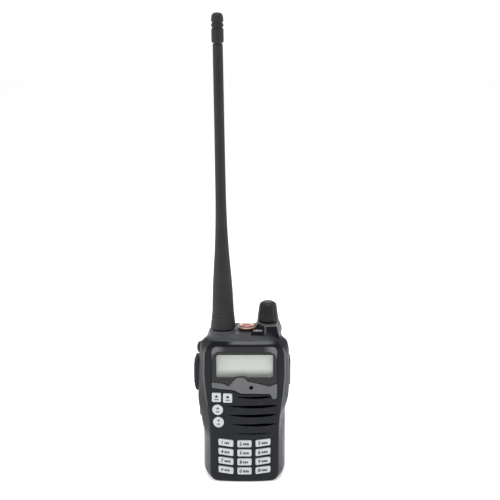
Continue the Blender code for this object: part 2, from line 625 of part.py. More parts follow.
def screw(name, centre, head_y, tail_y, radius, shank):
    """A pan head screw whose head faces the back, with a cross recess."""
    low, high = head_y
    profile = ((0, tail_y), (shank, tail_y), (shank, low), (radius, low), (radius, high - 0.3),
               (radius - 0.4, high), (0, high))
    body = make(name, add_turned(bmesh.new(), profile, centre, "Y", 14), STEEL)
    x, z = centre
    cross = [(0.25, 1.1), (0.25, 0.25), (1.1, 0.25), (1.1, -0.25), (0.25, -0.25), (0.25, -1.1)]
    outline = [(x + u, z + v) for u, v in cross + [(-u, -v) for u, v in cross]]
    boolean(body, add_prism(bmesh.new(), outline, high - 0.6, high + 1))


def battery_outline():
    """Half outline of the pack: rounded lower corners, and small upper ones."""
    low, high = BATTERY_Z
    turn = [math.pi / 2 * i / 6 for i in range(7)]
    corner = BOTTOM_CORNER
    bottom = [(BATTERY_HALF - corner + corner * math.sin(t), low + corner * (1 - math.cos(t))) for t in turn]
    r = BATTERY_TOP_CORNER
    top = [(BATTERY_HALF - r + r * math.cos(t), high - r + r * math.sin(t)) for t in turn[::2]]
    return mirrored([*bottom, *top])


def battery():
    outline = battery_outline()
    tray = make("battery_case", add_prism(bmesh.new(), outline, *BATTERY_CASE_Y), CASE, BATTERY_HINGE)
    boolean(tray, add_prism(bmesh.new(), offset(outline, -1.8), 8.6, 12))
    boolean(tray, add_box(bmesh.new(), (-9.5, 9.5), (6, 9.5), (8.0, 14.0)))

    low, high = BATTERY_COVER_Y
    steps = ((low, 0), (14.4, 0.25), (16.6, 1.3), (17.6, 2.6), (high, 4.0))
    rings = [[(x, y, z) for x, z in offset(outline, -inset)] for y, inset in steps]
    cover = make("battery_cover", add_rings(bmesh.new(), rings), CASE, BATTERY_HINGE)
    steps = ((low - 1, 1.8), (14.6, 2.2), (16.2, 4.0))
    inner = [[(x, y, z) for x, z in offset(outline, -inset)] for y, inset in steps]
    boolean(cover, add_rings(bmesh.new(), inner))
    pocket = add_box(bmesh.new(), (-8.4, 8.4), (15.4, 20), (53.0, 62.9))
    boolean(cover, pocket)
    boolean(cover, add_box(bmesh.new(), (-5.4, 5.4), (15.8, 20), (62.0, 66.0)))
    boolean(cover, add_box(bmesh.new(), (-1.8, 1.8), (16.4, 20), (49.6, 53.5)))

    for name, low_x, high_x in (("battery_cell_1", -20.6, -0.7), ("battery_cell_2", 0.7, 20.6)):
        make(name, add_prism(bmesh.new(), rectangle(low_x, high_x, 9.5, 49.0, 2.0), 9.0, 15.9), CELL, BATTERY_HINGE)
    make("battery_contacts", add_box(bmesh.new(), (-9.2, 9.2), (7.05, 8.7), (8.3, 13.7)), BRASS, BATTERY_HINGE)

    latch = make("battery_latch", add_pillow(bmesh.new(), rectangle(-8.1, 8.1, 55.7, 62.6, 0.8, 2),
                                             ((16.5, 0), (18.1, 0), (18.5, 0.4)), "Y"), RUBBER, (0, 17.4, 59))
    boolean(latch, add_box(bmesh.new(), (-5.1, 5.1), (16.5, 17.6), (61.0, 66.0 - LATCH_HINT)), "UNION")
    coil("latch_spring", STEEL, 0.6, 0.15, 5, (0, 17.25, 49.9), 55.2, "Z")


def belt_clip():
    y, z = CLIP_PIN
    bracket = make("clip_bracket", add_prism(bmesh.new(), rectangle(-8.8, 8.8, 69.5, 89, 1.5), 16.8, 18.6), STEEL)
    for side in (-1, 1):
        x = sorted((side * 6.6, side * 8.6))
        boolean(bracket, add_box(bmesh.new(), x, (18.0, 23.0), (81.4, 86.6)), "UNION")
    boolean(bracket, add_cylinder(bmesh.new(), (y, z), 1.3, -10, 10, "X", 14))
    holes = bmesh.new()
    for side in (-1, 1):
        add_cylinder(holes, (side * 5.5, 74.0), 1.5, 15, 20, "Y", 12)
    boolean(bracket, holes)
    make("clip_pin", add_cylinder(bmesh.new(), (y, z), 1.0, -9.4, 9.4, "X", 14), STEEL)
    coil("clip_spring", STEEL, 1.75, 0.3, 6, (y, z, -3.0), 3.0, "X")

    profile = ((24.0, 90.5), (25.2, 90.5), (26.0, 88.0), (26.0, 34.0), (25.4, 28.6), (22.6, 25.2), (19.2, 27.4), (19.2, 28.8),
               (22.4, 27.4), (24.4, 30.0), (24.6, 34.0), (24.6, 87.0))
    plate = make("belt_clip", add_prism(bmesh.new(), profile, -CLIP_HALF, CLIP_HALF, "X"), CASE, (0, y, z))
    for side in (-1, 1):
        x = sorted((side * 4.2, side * 6.2))
        boolean(plate, add_box(bmesh.new(), x, (19.6, 25.0), (81.8, 86.2)), "UNION")
    boolean(plate, add_cylinder(bmesh.new(), (y, z), 1.3, -8, 8, "X", 14))

    for i, side in enumerate((-1, 1), 1):
        screw(f"clip_screw_{i}", (side * 5.5, 74.0), (18.9, 20.0), 12.6, 2.4, 1.2)
        screw(f"case_screw_{i}", (side * 18.4, 86.0), (15.3, 16.4), 8.0, 2.2, 1.1)


front_case()
display()
keys()
keypad_mat()
electronics()
antenna()
knob()
lamp()
side_controls()
rear_chassis()
battery()
belt_clip()
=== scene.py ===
import math

import bmesh
import bpy
import numpy as np
from mathutils import Matrix, Vector


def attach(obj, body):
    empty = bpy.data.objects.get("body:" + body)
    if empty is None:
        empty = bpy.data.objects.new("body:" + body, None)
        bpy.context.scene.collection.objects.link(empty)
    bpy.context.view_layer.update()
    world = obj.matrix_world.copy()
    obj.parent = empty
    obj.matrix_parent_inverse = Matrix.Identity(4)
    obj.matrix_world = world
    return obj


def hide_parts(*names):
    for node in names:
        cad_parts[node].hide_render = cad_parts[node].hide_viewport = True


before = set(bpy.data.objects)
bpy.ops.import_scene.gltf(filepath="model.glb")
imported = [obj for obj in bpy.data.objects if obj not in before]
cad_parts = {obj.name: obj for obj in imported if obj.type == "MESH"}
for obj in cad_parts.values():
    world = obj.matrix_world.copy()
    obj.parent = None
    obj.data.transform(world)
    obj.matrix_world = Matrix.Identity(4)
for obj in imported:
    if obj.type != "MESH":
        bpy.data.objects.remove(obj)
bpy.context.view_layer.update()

MM = 0.001

# The body's half widths against height, and its other driving sizes, in millimetres
HEIGHT = 95.0
FRONT_Y = -18.0
SEAM_Y = 6.5
FRONT_HALF = ((0, 21.4), (32, 21.4), (44, 22.1), (56, 24.0), (70, 25.2), (84, 24.9), (87.5, 23.6),
              (90.5, 21.6), (92.5, 19.6), (95, 17))
WING_HALF = ((0, 24.3), (30, 24.0), (37, 23.3), (41.5, 23.5), (44.6, 24.7), (48, 26.1), (51.2, 27.2),
             (54.5, 27.8), (60, 28.1), (70, 28.5), (78, 28.0), (86, 27.8), (89.2, 27.4), (90.6, 26.5),
             (92.2, 23.8), (95, 18.5))
REAR_HALF = ((0, 25.7), (44, 25.7), (50, 26.2), (58, 27.4), (62, 27.8), (84.6, 27.4), (86, 26.7),
             (88.9, 23.4), (92, 22.6), (95, 19.0))
# How much further out the wing reaches on the left
LEFT_SWELL = ((28, 0), (32, 1.6), (36, 3.2), (41, 3.8), (46, 3.2), (52, 2.0), (58, 1.2), (66, 0.6), (90, 0))
CROWN = 1.5
WALL = 1.8
FRONT_WALL = 2.8
WING_Y = -9.0
REAR_Y = -1.0
BOTTOM_CORNER = 5.8
BOTTOM_EDGE = 1.7
TOP_EDGE_Z = 92.5
TOP_EDGE_BACK = 1.0
DECK_FRONT_Y = -11.0

# Display
WINDOW_HALF = 20.2
WINDOW_TOP = 88.4
BAND_TOP = ((-20.2, 65.6), (-12.4, 64.6), (-10.0, 62.9), (-5.9, 67.6), (-4.6, 68.5), (0.2, 68.5),
            (1.6, 66.4), (15.6, 62.9), (20.2, 64.9))
BAND_BOTTOM = ((20.2, 56.0), (19.6, 54.9), (18.5, 54.4), (17.4, 54.9), (16.8, 56.2), (15.8, 58.0),
               (-2.5, 57.9), (-6.2, 60.1), (-20.2, 61.9))
MASK = ((-19.6, 83.2), (-16.8, 85.3), (15.7, 85.3), (18.7, 83.6), (19.4, 81.1), (19.7, 65.0), (15.7, 63.3),
        (1.7, 66.8), (0.3, 68.9), (-4.5, 68.9), (-5.9, 68.2), (-10.0, 63.4), (-12.4, 65.0), (-19.9, 66.0))
LCD_SEEN = (-17.3, 17.6, 68.6, 83.1)
MIC_HOLE = (4.2, 62.0)

# Keys
KEY_PROUD = 0.8
KEY_FOOT_Y = -13.9
KEY_ROUND = 0.42
KEY_CORNER = 0.8
INK_PROUD = 0.03
INK_SUNK = 0.1
KEY_CLEARANCE = 0.25
PAD_ROWS = (25.7, 19.7, 13.7, 7.7)
PAD_COLUMN = 11.6
PAD_SIDE_RISE = 0.6
PAD_SLOPE = 0.085
DIGIT_HEIGHT = 2.2
STAR_HEIGHT = 2.8
CAPITAL_SHARE = 0.73
# Widths of the printed bars beside each number, and where they start, their gap and their height
BARS_START = -0.8
BAR_GAP = 0.26
BAR_HEIGHT = 1.3
PAD_BARS = ((0.5, 0.9, 0.8), (1.0, 0.9, 1.1), (1.1, 1.0, 1.0), (0.8, 0.7, 0.9), (1.1, 0.8, 1.1),
            (0.9, 1.2, 1.0), (1.2, 1.0, 0.9), (0.9, 0.7, 0.8), (1.0, 0.9, 1.1), (1.0, 0.6, 0.9),
            (1.1, 0.8, 1.1), (0.7, 1.1, 1.0))
CENTRE_KEY = ((-4.45, 2.25), (4.45, 2.25), (4.45, -2.25), (-4.45, -2.25))
SIDE_KEY = ((-4.7, 2.6), (4.7, 1.6), (4.7, -2.8), (-4.5, -1.6))
SQUARE_KEYS = ((-17.3, 55.9), (-10.4, 55.6))
SQUARE_KEY_HALF = (2.85, 2.95)
ROUND_KEYS = ((-16.6, 47.8), (-16.1, 39.7))
ROUND_KEY_RADIUS = 3.35

# Speaker slots: left end, right end, height of the ends, greatest width
SLOTS = ((-5.0, 17.0, 56.4, 1.8), (-10.4, 20.0, 50.4, 2.1), (-10.4, 19.6, 44.5, 2.1), (-8.0, 19.2, 38.4, 1.9),
         (-6.0, 16.0, 32.7, 0.9))
SLOT_SAG = 0.7

# Hollows behind the number pad, round keys, square keys, speaker and display, as ranges of x, y and z
HOLLOWS = (((-17.2, 17.2), (-14.3, -11.1), (4.9, 29.9)), ((-20.5, -12.5), (-14.3, -11.1), (35.1, 60.1)),
           ((-13.0, -6.7), (-14.3, -11.1), (51.9, 59.9)), ((-11.4, 20.3), (-14.2, -11.2), (31.0, 57.8)),
           ((-19.4, 19.4), (-15.3, -11.3), (65.4, 86.0)))

# Side controls, as (y low, y high, z low, z high) and the x of the outer face
PTT = (-7.5, 1.5, 56.8, 79.3)
PTT_X = -31.7
UPPER_SIDE_KEY = (-6.0, 1.0, 80.7, 87.4)
UPPER_SIDE_X = -29.6
LOWER_SIDE_KEY = (-6.0, 1.0, 38.9, 46.7)
LOWER_SIDE_X = -28.3
COVER = (-6.7, 3.7, 60.3, 77.7)
COVER_X = (27.5, 28.8)
SIDE_GAP = 0.3
SIDE_ROUND = 1.6
SIDE_FACE_ROUND = 1.2
SIDE_FACE_DROP = 1.5
COVER_ROUND = 2.0
JACKS = ((-1.5, 73.3, 1.9), (-1.5, 65.0, 1.5))

# Top deck
ANTENNA = (-13.2, -3.0)
ANTENNA_BASE_Z = 96.8
ANTENNA_LEAN = math.radians(0.87)
ANTENNA_LEAN_FROM = 109.0
COLLAR_RADIUS = 8.2
COLLAR_Z = 96.0
KNOB = (14.6, -1.5)
KNOB_RIDGES = 12
KNOB_RIDGE_DEPTH = 0.42
PEDESTAL = ((13.1, -11.0), (19.6, -9.9), (21.9, 1.0), (21.4, 6.2), (8.2, 6.2), (8.2, -3.0))
PEDESTAL_Z = 100.2
PEDESTAL_FLARE = 1.5
# The lamp's bore, and the middle of the lens above it
LAMP = (0.8, -0.3)
LAMP_SEEN = (1.3, 0.3)

# Back
BLOCK_OUTLINE = ((26.4, 66.0), (26.4, 81.4), (22.9, 84.8), (22.5, 90.4), (20.4, 92.8), (17.0, 94.2))
BATTERY_HALF = 25.7
BATTERY_TOP = 64.0
REAR_START_Y = 6.58
CLIP_PIN = (21.2, 84.0)


# ---------------- materials

def rgb(red, green, blue):
    """Linear colour of a screen colour."""
    parts = [c / 255 for c in (red, green, blue)]
    return tuple(c / 12.92 if c <= 0.04045 else ((c + 0.055) / 1.055) ** 2.4 for c in parts)


class Look:
    """A Principled material whose colour, roughness and bump all vary."""

    def __init__(self, name, colour, roughness, metallic=0.0, grain=3500.0, depth=0.12, uneven=0.12,
                 wear=0.06, edge=0.0, coat=0.0, shine=0.5, edge_highlight=None):
        self.made = bpy.data.materials.new(name)
        self.made.use_nodes = True
        self.nodes = self.made.node_tree.nodes
        self.links = self.made.node_tree.links
        self.shader = self.nodes["Principled BSDF"]
        self.shader.inputs["Metallic"].default_value = metallic
        self.shader.inputs["Coat Weight"].default_value = coat
        self.shader.inputs["Specular IOR Level"].default_value = shine
        self.shader.inputs["Coat Roughness"].default_value = 0.15
        self.where = self.nodes.new("ShaderNodeTexCoord").outputs["Object"]
        broad = self.noise(90.0, 4)
        fine = self.noise(grain, 3)
        scuff = self.noise(420.0, 6)
        shade = self.spread(broad, 1 - uneven, 1 + uneven)
        speck = self.spread(fine, 1 - uneven * 0.6, 1 + uneven * 0.6)
        tone = self.mathematics("MULTIPLY", shade, speck)
        self.tinted = self.scaled(colour, tone)
        self.links.new(self.tinted, self.shader.inputs["Base Color"])
        dull = self.spread(scuff, -wear, wear)
        level = self.mathematics("ADD", dull, roughness)
        grit = self.spread(fine, -wear * 0.5, wear * 0.5)
        self.links.new(self.mathematics("ADD", level, grit), self.shader.inputs["Roughness"])
        bump = self.nodes.new("ShaderNodeBump")
        bump.inputs["Strength"].default_value = depth
        bump.inputs["Distance"].default_value = 0.1 * MM
        height = self.mathematics("ADD", fine, self.mathematics("MULTIPLY", scuff, 0.4))
        self.links.new(height, bump.inputs["Height"])
        if edge:
            rim = self.nodes.new("ShaderNodeBevel")
            rim.samples = 6
            rim.inputs["Radius"].default_value = edge * MM
            self.links.new(rim.outputs["Normal"], bump.inputs["Normal"])
            # A colour given for the edges is painted onto them as a highlight, where the bevel's normal turns
            # away from the surface's own
            if edge_highlight:
                self.paint(self.spread(self.dot(rim.outputs["Normal"]), 0.85, 0.0, 0.75, 0.985), edge_highlight)
        self.links.new(bump.outputs["Normal"], self.shader.inputs["Normal"])

    def noise(self, scale, detail):
        node = self.nodes.new("ShaderNodeTexNoise")
        node.inputs["Scale"].default_value = scale
        node.inputs["Detail"].default_value = detail
        self.links.new(self.where, node.inputs["Vector"])
        return node.outputs["Fac"]

    def spread(self, value, low, high, start=0.3, stop=0.7):
        node = self.nodes.new("ShaderNodeMapRange")
        node.interpolation_type = "SMOOTHSTEP"
        for name, number in (("From Min", start), ("From Max", stop), ("To Min", low), ("To Max", high)):
            node.inputs[name].default_value = number
        self.links.new(value, node.inputs["Value"])
        return node.outputs["Result"]

    def mathematics(self, operation, first, second):
        node = self.nodes.new("ShaderNodeMath")
        node.operation = operation
        for socket, value in zip(node.inputs, (first, second)):
            if isinstance(value, (int, float)):
                socket.default_value = value
            else:
                self.links.new(value, socket)
        return node.outputs[0]

    def dot(self, normal):
        """How far a normal still agrees with the surface's own one."""
        node = self.nodes.new("ShaderNodeVectorMath")
        node.operation = "DOT_PRODUCT"
        self.links.new(normal, node.inputs[0])
        self.links.new(self.nodes.new("ShaderNodeNewGeometry").outputs["Normal"], node.inputs[1])
        return node.outputs["Value"]

    def scaled(self, colour, value):
        node = self.nodes.new("ShaderNodeVectorMath")
        node.operation = "SCALE"
        node.inputs[0].default_value = colour
        self.links.new(value, node.inputs["Scale"])
        return node.outputs["Vector"]

    def rise(self, value, start, stop):
        """0 below start and 1 above stop, both in millimetres."""
        return self.spread(value, 0.0, 1.0, start * MM, stop * MM)

    def fall(self, value, start, stop, low=0.0, high=1.0):
        """high below start and low above stop, both in millimetres."""
        return self.spread(value, high, low, start * MM, stop * MM)

    def product(self, *masks):
        whole = masks[0]
        for mask in masks[1:]:
            whole = self.mathematics("MULTIPLY", whole, mask)
        return whole

    def away(self, value, centre=0.0):
        """The distance of a value from a centre."""
        return self.mathematics("ABSOLUTE", self.mathematics("SUBTRACT", value, centre), 0.0)

    def place(self, axis):
        node = self.nodes.new("ShaderNodeSeparateXYZ")
        self.links.new(self.where, node.inputs[0])
        return node.outputs[axis]

    def mix(self, factor, first, second):
        node = self.nodes.new("ShaderNodeMix")
        node.data_type = "RGBA"
        self.links.new(factor, node.inputs["Factor"])
        for name, value in (("A", first), ("B", second)):
            socket = [s for s in node.inputs if s.name == name and s.type == "RGBA"][0]
            if isinstance(value, tuple):
                socket.default_value = (*value, 1)
            else:
                self.links.new(value, socket)
        return [s for s in node.outputs if s.type == "RGBA"][0]

    def table(self, value, rows):
        """The value looked up in a table of (input, output) rows."""
        ramp = self.nodes.new("ShaderNodeValToRGB")
        ramp.color_ramp.interpolation = "LINEAR"
        stops = ramp.color_ramp.elements
        for i, (key, out) in enumerate(rows):
            stop = stops[i] if i < 2 else stops.new(1.0)
            stop.position = key / 100
            stop.color = (out / 100, out / 100, out / 100, 1)
        self.links.new(self.mathematics("MULTIPLY", value, 10.0), ramp.inputs["Fac"])
        return self.mathematics("MULTIPLY", ramp.outputs["Color"], 0.1)

    def paint(self, factor, other):
        """Mixes another colour into the base colour."""
        self.tinted = self.mix(factor, self.tinted, other)
        self.links.new(self.tinted, self.shader.inputs["Base Color"])


def case_look():
    """Charcoal plastic, with painted highlights along its edges, and painted light on the top deck, the
    collar and the pedestal.
    """
    look = Look("case_charcoal", rgb(16, 19, 26), 0.38, depth=0.16, edge=0.3, shine=0.24, edge_highlight=rgb(52, 53, 57))
    x, y, z = (look.place(axis) for axis in "XYZ")
    # Painted highlight along the sides of the front panel, from z 44 to 88
    panel_edge = look.away(look.away(x), look.table(z, FRONT_HALF[:7]))
    look.paint(look.product(look.fall(panel_edge, 0.2, 0.6, high=0.8), look.rise(z, 44, 56),
                            look.fall(z, 86, 88)), rgb(92, 93, 97))
    # Painted highlight along the rounded front edge of the deck
    across = look.away(x, 4.5 * MM)
    look.paint(look.product(look.rise(z, 89.5, 90.5), look.fall(z, 91.4, 92.2), look.fall(y, -16.5, -15.5),
                            look.fall(across, 10, 16)), rgb(98, 99, 104))
    # Painted light on the sloped front of the top deck
    look.paint(look.product(look.rise(z, 91.6, 92.4), look.fall(z, 95.4, 95.8), look.fall(y, -8, -2),
                            look.fall(x, 13, 18)), rgb(51, 52, 57))
    # Painted light on the antenna's collar and the deck beside it
    look.paint(look.product(look.rise(z, 92.8, 93.4), look.fall(z, 96.6, 96.8), look.fall(x, -5, -2)),
               rgb(68, 69, 74))
    # Painted highlight along the top edge of the knob's pedestal
    look.paint(look.product(look.rise(z, 99.3, 99.7), look.rise(x, 4, 6),
                            look.fall(z, 100.1, 100.2, low=0.6)), rgb(92, 93, 96))
    # Painted highlight on the pedestal's front left edge
    look.paint(look.product(look.fall(look.away(x, 12.9 * MM), 0.2, 0.8), look.rise(z, 95.2, 95.8),
                            look.fall(y, -10.5, -9.5)), rgb(86, 87, 90))
    return look.made


def knob_look():
    """Black plastic, darker still in the shade at its foot."""
    look = Look("knob_plastic", rgb(29, 29, 32), 0.4, depth=0.14, edge=0.18, shine=0.25)
    look.paint(look.fall(look.place("Z"), 101.5, 102.4), rgb(3, 3, 4))
    return look.made


def lcd_look():
    """Pale grey display, with painted shade along its lower edge and towards its left side."""
    look = Look("lcd_face", rgb(216, 217, 214), 0.35, grain=2600.0, depth=0.02, uneven=0.02, wear=0.03)
    # Painted shade along the lower edge
    look.paint(look.fall(look.place("Z"), 69, 74), rgb(128, 129, 127))
    # Painted shade towards the left side
    look.paint(look.fall(look.place("X"), -17, -4, high=0.35), rgb(196, 198, 196))
    return look.made


def lamp_look():
    """Cream lens with a rosy rim, and a red glow in the middle of its near half."""
    look = Look("lamp_cream", rgb(232, 224, 204), 0.25, grain=1800.0, depth=0.02, uneven=0.03, wear=0.03,
                coat=0.2)
    x, y, z = (look.place(axis) for axis in "XYZ")
    look.paint(look.fall(z, 96.4, 97.1), rgb(176, 116, 108))
    middle = look.fall(look.away(x, LAMP_SEEN[0] * MM), 2, 4.4, low=0.25)
    look.paint(look.product(look.fall(y, -2.2, 0.8), middle, look.rise(z, 97.2, 97.6)), rgb(206, 128, 118))
    return look.made


def trim_look():
    """Satin plate, grey at the two upper corners as a painted reflection that turns black towards the middle.
    """
    look = Look("window_satin_reflection", rgb(101, 101, 104), 0.36, 0.35, grain=5000.0, depth=0.05, uneven=0.05,
                wear=0.04)
    # The grey left at the upper corners is a painted reflection, black elsewhere
    look.paint(look.fall(look.away(look.place("X")), 11, 18), rgb(28, 28, 31))
    look.paint(look.fall(look.place("Z"), 79, 85), rgb(24, 24, 27))
    return look.made


def bare_material(name):
    """A material with nothing but its output, as (material, nodes, links, output)."""
    made = bpy.data.materials.new(name)
    made.use_nodes = True
    nodes = made.node_tree.nodes
    nodes.clear()
    return made, nodes, made.node_tree.links, nodes.new("ShaderNodeOutputMaterial")


def glass_look():
    """A thin clear pane: see-through, with a soft reflection."""
    made, nodes, links, out = bare_material("window_pane")
    clear = nodes.new("ShaderNodeBsdfTransparent")
    clear.inputs["Color"].default_value = (0.95, 0.96, 0.95, 1)
    shine = nodes.new("ShaderNodeBsdfGlossy")
    shine.inputs["Roughness"].default_value = 0.06
    mix = nodes.new("ShaderNodeMixShader")
    mix.inputs[0].default_value = 0.05
    links.new(clear.outputs[0], mix.inputs[1])
    links.new(shine.outputs[0], mix.inputs[2])
    links.new(mix.outputs[0], out.inputs["Surface"])
    return made


def plain(name, colour, roughness, *more, **named):
    return Look(name, rgb(*colour), roughness, *more, **named).made


CASE = case_look()
REAR = plain("rear_charcoal", (25, 26, 29), 0.5, depth=0.2, edge=0.25, shine=0.25)
CAST = plain("cast_block", (46, 47, 50), 0.5, 0.5, grain=2200.0, depth=0.22, edge=0.2)
RUBBER = plain("antenna_rubber", (43, 43, 44), 0.55, grain=4200.0, depth=0.14, uneven=0.1, edge=0.12,
               shine=0.22)
GRIP = plain("button_rubber", (37, 38, 41), 0.55, grain=3000.0, depth=0.2, edge=0.25, shine=0.25)
KNOB_LOOK = knob_look()
MASK_LOOK = plain("window_black", (10, 10, 12), 0.2, grain=1500.0, depth=0.01, uneven=0.1, wear=0.03,
                  edge=0.08, shine=0.4)
TRIM = plain("trim_satin", (95, 96, 98), 0.34, 0.35, grain=5000.0, depth=0.06, uneven=0.05, wear=0.05,
             edge=0.12)
SATIN_REFLECTION = trim_look()
LCD = lcd_look()
PANE = glass_look()
CAP = plain("key_cap", (198, 203, 207), 0.38, grain=2400.0, depth=0.04, uneven=0.03, wear=0.05)
INK = plain("key_ink", (24, 25, 32), 0.5, grain=6000.0, depth=0.06, uneven=0.15)
INK_LIGHT = plain("key_ink_light", (34, 36, 45), 0.5, grain=6000.0, depth=0.06, uneven=0.12)
CREAM = lamp_look()
RED = plain("lamp_red", (104, 36, 40), 0.3, grain=1800.0, depth=0.02, uneven=0.08, coat=0.4)
LEGEND = plain("legend_black", (9, 9, 11), 0.6, grain=3000.0, depth=0.08, uneven=0.1, edge=0.1,
               shine=0.08)
MARK = plain("legend_mark", (150, 150, 153), 0.45, grain=6000.0, depth=0.05, uneven=0.08)
STEEL = plain("steel_plate", (176, 177, 180), 0.3, 1.0, grain=2600.0, depth=0.05, uneven=0.05)
DARK_STEEL = plain("steel_black", (60, 61, 64), 0.38, 0.9, grain=2600.0, depth=0.08)
BRASS = plain("brass_bright", (196, 160, 92), 0.28, 1.0, grain=2400.0, depth=0.05)
BOARD = plain("board_green", (22, 84, 46), 0.42, grain=900.0, depth=0.1, uneven=0.25)
SILICONE = plain("mat_silicone", (40, 40, 42), 0.65, grain=2600.0, depth=0.08, shine=0.2)
CLOTH = plain("cloth_black", (6, 6, 7), 0.95, grain=6000.0, depth=0.5, uneven=0.3, shine=0.0)
CELL = plain("cell_sleeve", (36, 66, 132), 0.4, grain=1500.0, depth=0.05)


# ---------------- mesh helpers

CUT = "DIFFERENCE"
JOIN = "UNION"


def new_object(name, data):
    obj = bpy.data.objects.new(name, data)
    bpy.context.scene.collection.objects.link(obj)
    return obj


def piece(name, bm, look, body="radio", stands_for=(), angle=32):
    """Turns a bmesh in millimetres into a visible piece that moves with a body."""
    bmesh.ops.recalc_face_normals(bm, faces=bm.faces)
    bmesh.ops.scale(bm, vec=(MM, MM, MM), verts=bm.verts)
    mesh = bpy.data.meshes.new(name)
    bm.to_mesh(mesh)
    bm.free()
    obj = new_object(name, mesh)
    if look:
        mesh.materials.append(look)
        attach(obj, body)
        if stands_for:
            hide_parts(*([stands_for] if isinstance(stands_for, str) else stands_for))
        finish_shading(obj, angle)
    return obj


def finish_shading(obj, angle):
    obj.data.shade_smooth()
    obj.data.set_sharp_from_angle(angle=math.radians(angle))
    obj.modifiers.new("even", "WEIGHTED_NORMAL").keep_sharp = True


def boolean(target, *steps, angle=32):
    """Applies (operation, bmesh) steps to the target's mesh, in order."""
    target.modifiers.clear()
    helpers = []
    for operation, bm in steps:
        helper = piece("helper", bm, None)
        step = target.modifiers.new("cut", "BOOLEAN")
        step.operation = operation
        step.solver = "EXACT"
        step.object = helper
        helpers.append(helper)
    graph = bpy.context.evaluated_depsgraph_get()
    made = bpy.data.meshes.new_from_object(target.evaluated_get(graph))
    target.modifiers.clear()
    look = target.data.materials[0]
    target.data = made
    made.materials.clear()
    made.materials.append(look)
    for helper in helpers:
        bpy.data.objects.remove(helper)
    finish_shading(target, angle)


def add_rings(bm, rings):
    loops = [[bm.verts.new(point) for point in ring] for ring in rings]
    count = len(loops[0])
    for low, high in zip(loops, loops[1:]):
        for i in range(count):
            j = (i + 1) % count
            bm.faces.new((low[i], low[j], high[j], high[i]))
    bm.faces.new(loops[0][::-1])
    bm.faces.new(loops[-1])
    return bm


def add_loft(bm, rings):
    add_rings(bm, rings)
    bmesh.ops.triangulate(bm, faces=bm.faces)
    return bm


def in_space(u, v, w, axis):
    """The point that lies w along an axis, and u and v along the two others."""
    return {"X": (w, u, v), "Y": (u, w, v), "Z": (u, v, w)}[axis]


def add_prism(bm, outline, low, high, axis="Y"):
    return add_rings(bm, [[in_space(u, v, w, axis) for u, v in outline] for w in (low, high)])


def add_box(bm, x, y, z):
    return add_prism(bm, ((x[0], y[0]), (x[1], y[0]), (x[1], y[1]), (x[0], y[1])), z[0], z[1], "Z")


def add_turned(bm, profile, centre, axis="Z", steps=64, flute=None):
    """A turned body through (radius, position) points; flute changes a radius by angle and position."""
    (_, w0), *middle, (_, w1) = profile
    loops = []
    for radius, w in middle:
        ring = []
        for i in range(steps):
            t = 2 * math.pi * i / steps
            r = radius if flute is None else flute(radius, t, w)
            u, v = centre[0] + r * math.cos(t), centre[1] + r * math.sin(t)
            ring.append(bm.verts.new(in_space(u, v, w, axis)))
        loops.append(ring)
    first = bm.verts.new(in_space(*centre, w0, axis))
    last = bm.verts.new(in_space(*centre, w1, axis))
    for i in range(steps):
        j = (i + 1) % steps
        for low, high in zip(loops, loops[1:]):
            bm.faces.new((low[i], low[j], high[j], high[i]))
        bm.faces.new((first, loops[0][j], loops[0][i]))
        bm.faces.new((last, loops[-1][i], loops[-1][j]))
    return bm


def add_cylinder(bm, centre, radius, low, high, axis="Z", steps=32):
    return add_turned(bm, ((0, low), (radius, low), (radius, high), (0, high)), centre, axis, steps)


def rounded(corners, radius, steps=5):
    """The outline with each corner replaced by an arc; radius is one number or one for each corner."""
    points = []
    radii = radius if isinstance(radius, (list, tuple)) else [radius] * len(corners)
    for i, (corner, size) in enumerate(zip(corners, radii)):
        here = Vector(corner)
        if not size:
            points.append(here)
            continue
        before = (Vector(corners[i - 1]) - here).normalized()
        after = (Vector(corners[(i + 1) % len(corners)]) - here).normalized()
        half = before.angle(after) / 2
        centre = here + (before + after).normalized() * size / math.sin(half)
        start = here + before * size / math.tan(half) - centre
        end = here + after * size / math.tan(half) - centre
        turn = start.angle_signed(end)
        for k in range(steps + 1):
            points.append(centre + Matrix.Rotation(-turn * k / steps, 2) @ start)
    return [tuple(p) for p in points]


def rectangle(low_u, high_u, low_v, high_v, radius=0.0, steps=5):
    corners = ((low_u, low_v), (high_u, low_v), (high_u, high_v), (low_u, high_v))
    return rounded(corners, radius, steps) if radius else list(corners)


def offset(outline, by):
    """The outline moved outward by a distance, along the mean of each corner's two normals."""
    points = [Vector(p) for p in outline]
    area = sum(a.cross(b) for a, b in zip(points, points[1:] + points[:1]))
    moved = []
    for i, here in enumerate(points):
        before = (here - points[i - 1]).normalized()
        after = (points[(i + 1) % len(points)] - here).normalized()
        normal = Vector((before.y + after.y, -before.x - after.x)).normalized()
        spread = max(0.4, normal.dot(Vector((before.y, -before.x))))
        moved.append(tuple(here + normal * math.copysign(1 / spread, area) * by))
    return moved


def fillet(radius, side=1, steps=5):
    """(shift along the axis, inset) pairs of a quarter round that ends at the face."""
    turn = [math.pi / 2 * k / steps for k in range(steps + 1)]
    return [(side * radius * (math.sin(t) - 1), radius * (1 - math.cos(t))) for t in turn]


def inset_rings(outline, rows, axis="Y"):
    """The outline drawn in by each row's inset, at each row's place along the axis."""
    return [[in_space(u, v, w, axis) for u, v in offset(outline, -inset)] for w, inset in rows]


def add_pillow(bm, outline, base, face, radius, axis):
    """A button-like body from base to face, with a rounded edge of the given radius at the face."""
    side = 1 if face > base else -1
    rows = [(base, 0.0)] + [(face + shift, inset) for shift, inset in fillet(radius, side)]
    return add_rings(bm, inset_rings(outline, rows, axis))


def fresh(add):
    """The same builder, starting from an empty mesh."""
    return lambda *values, **named: add(bmesh.new(), *values, **named)


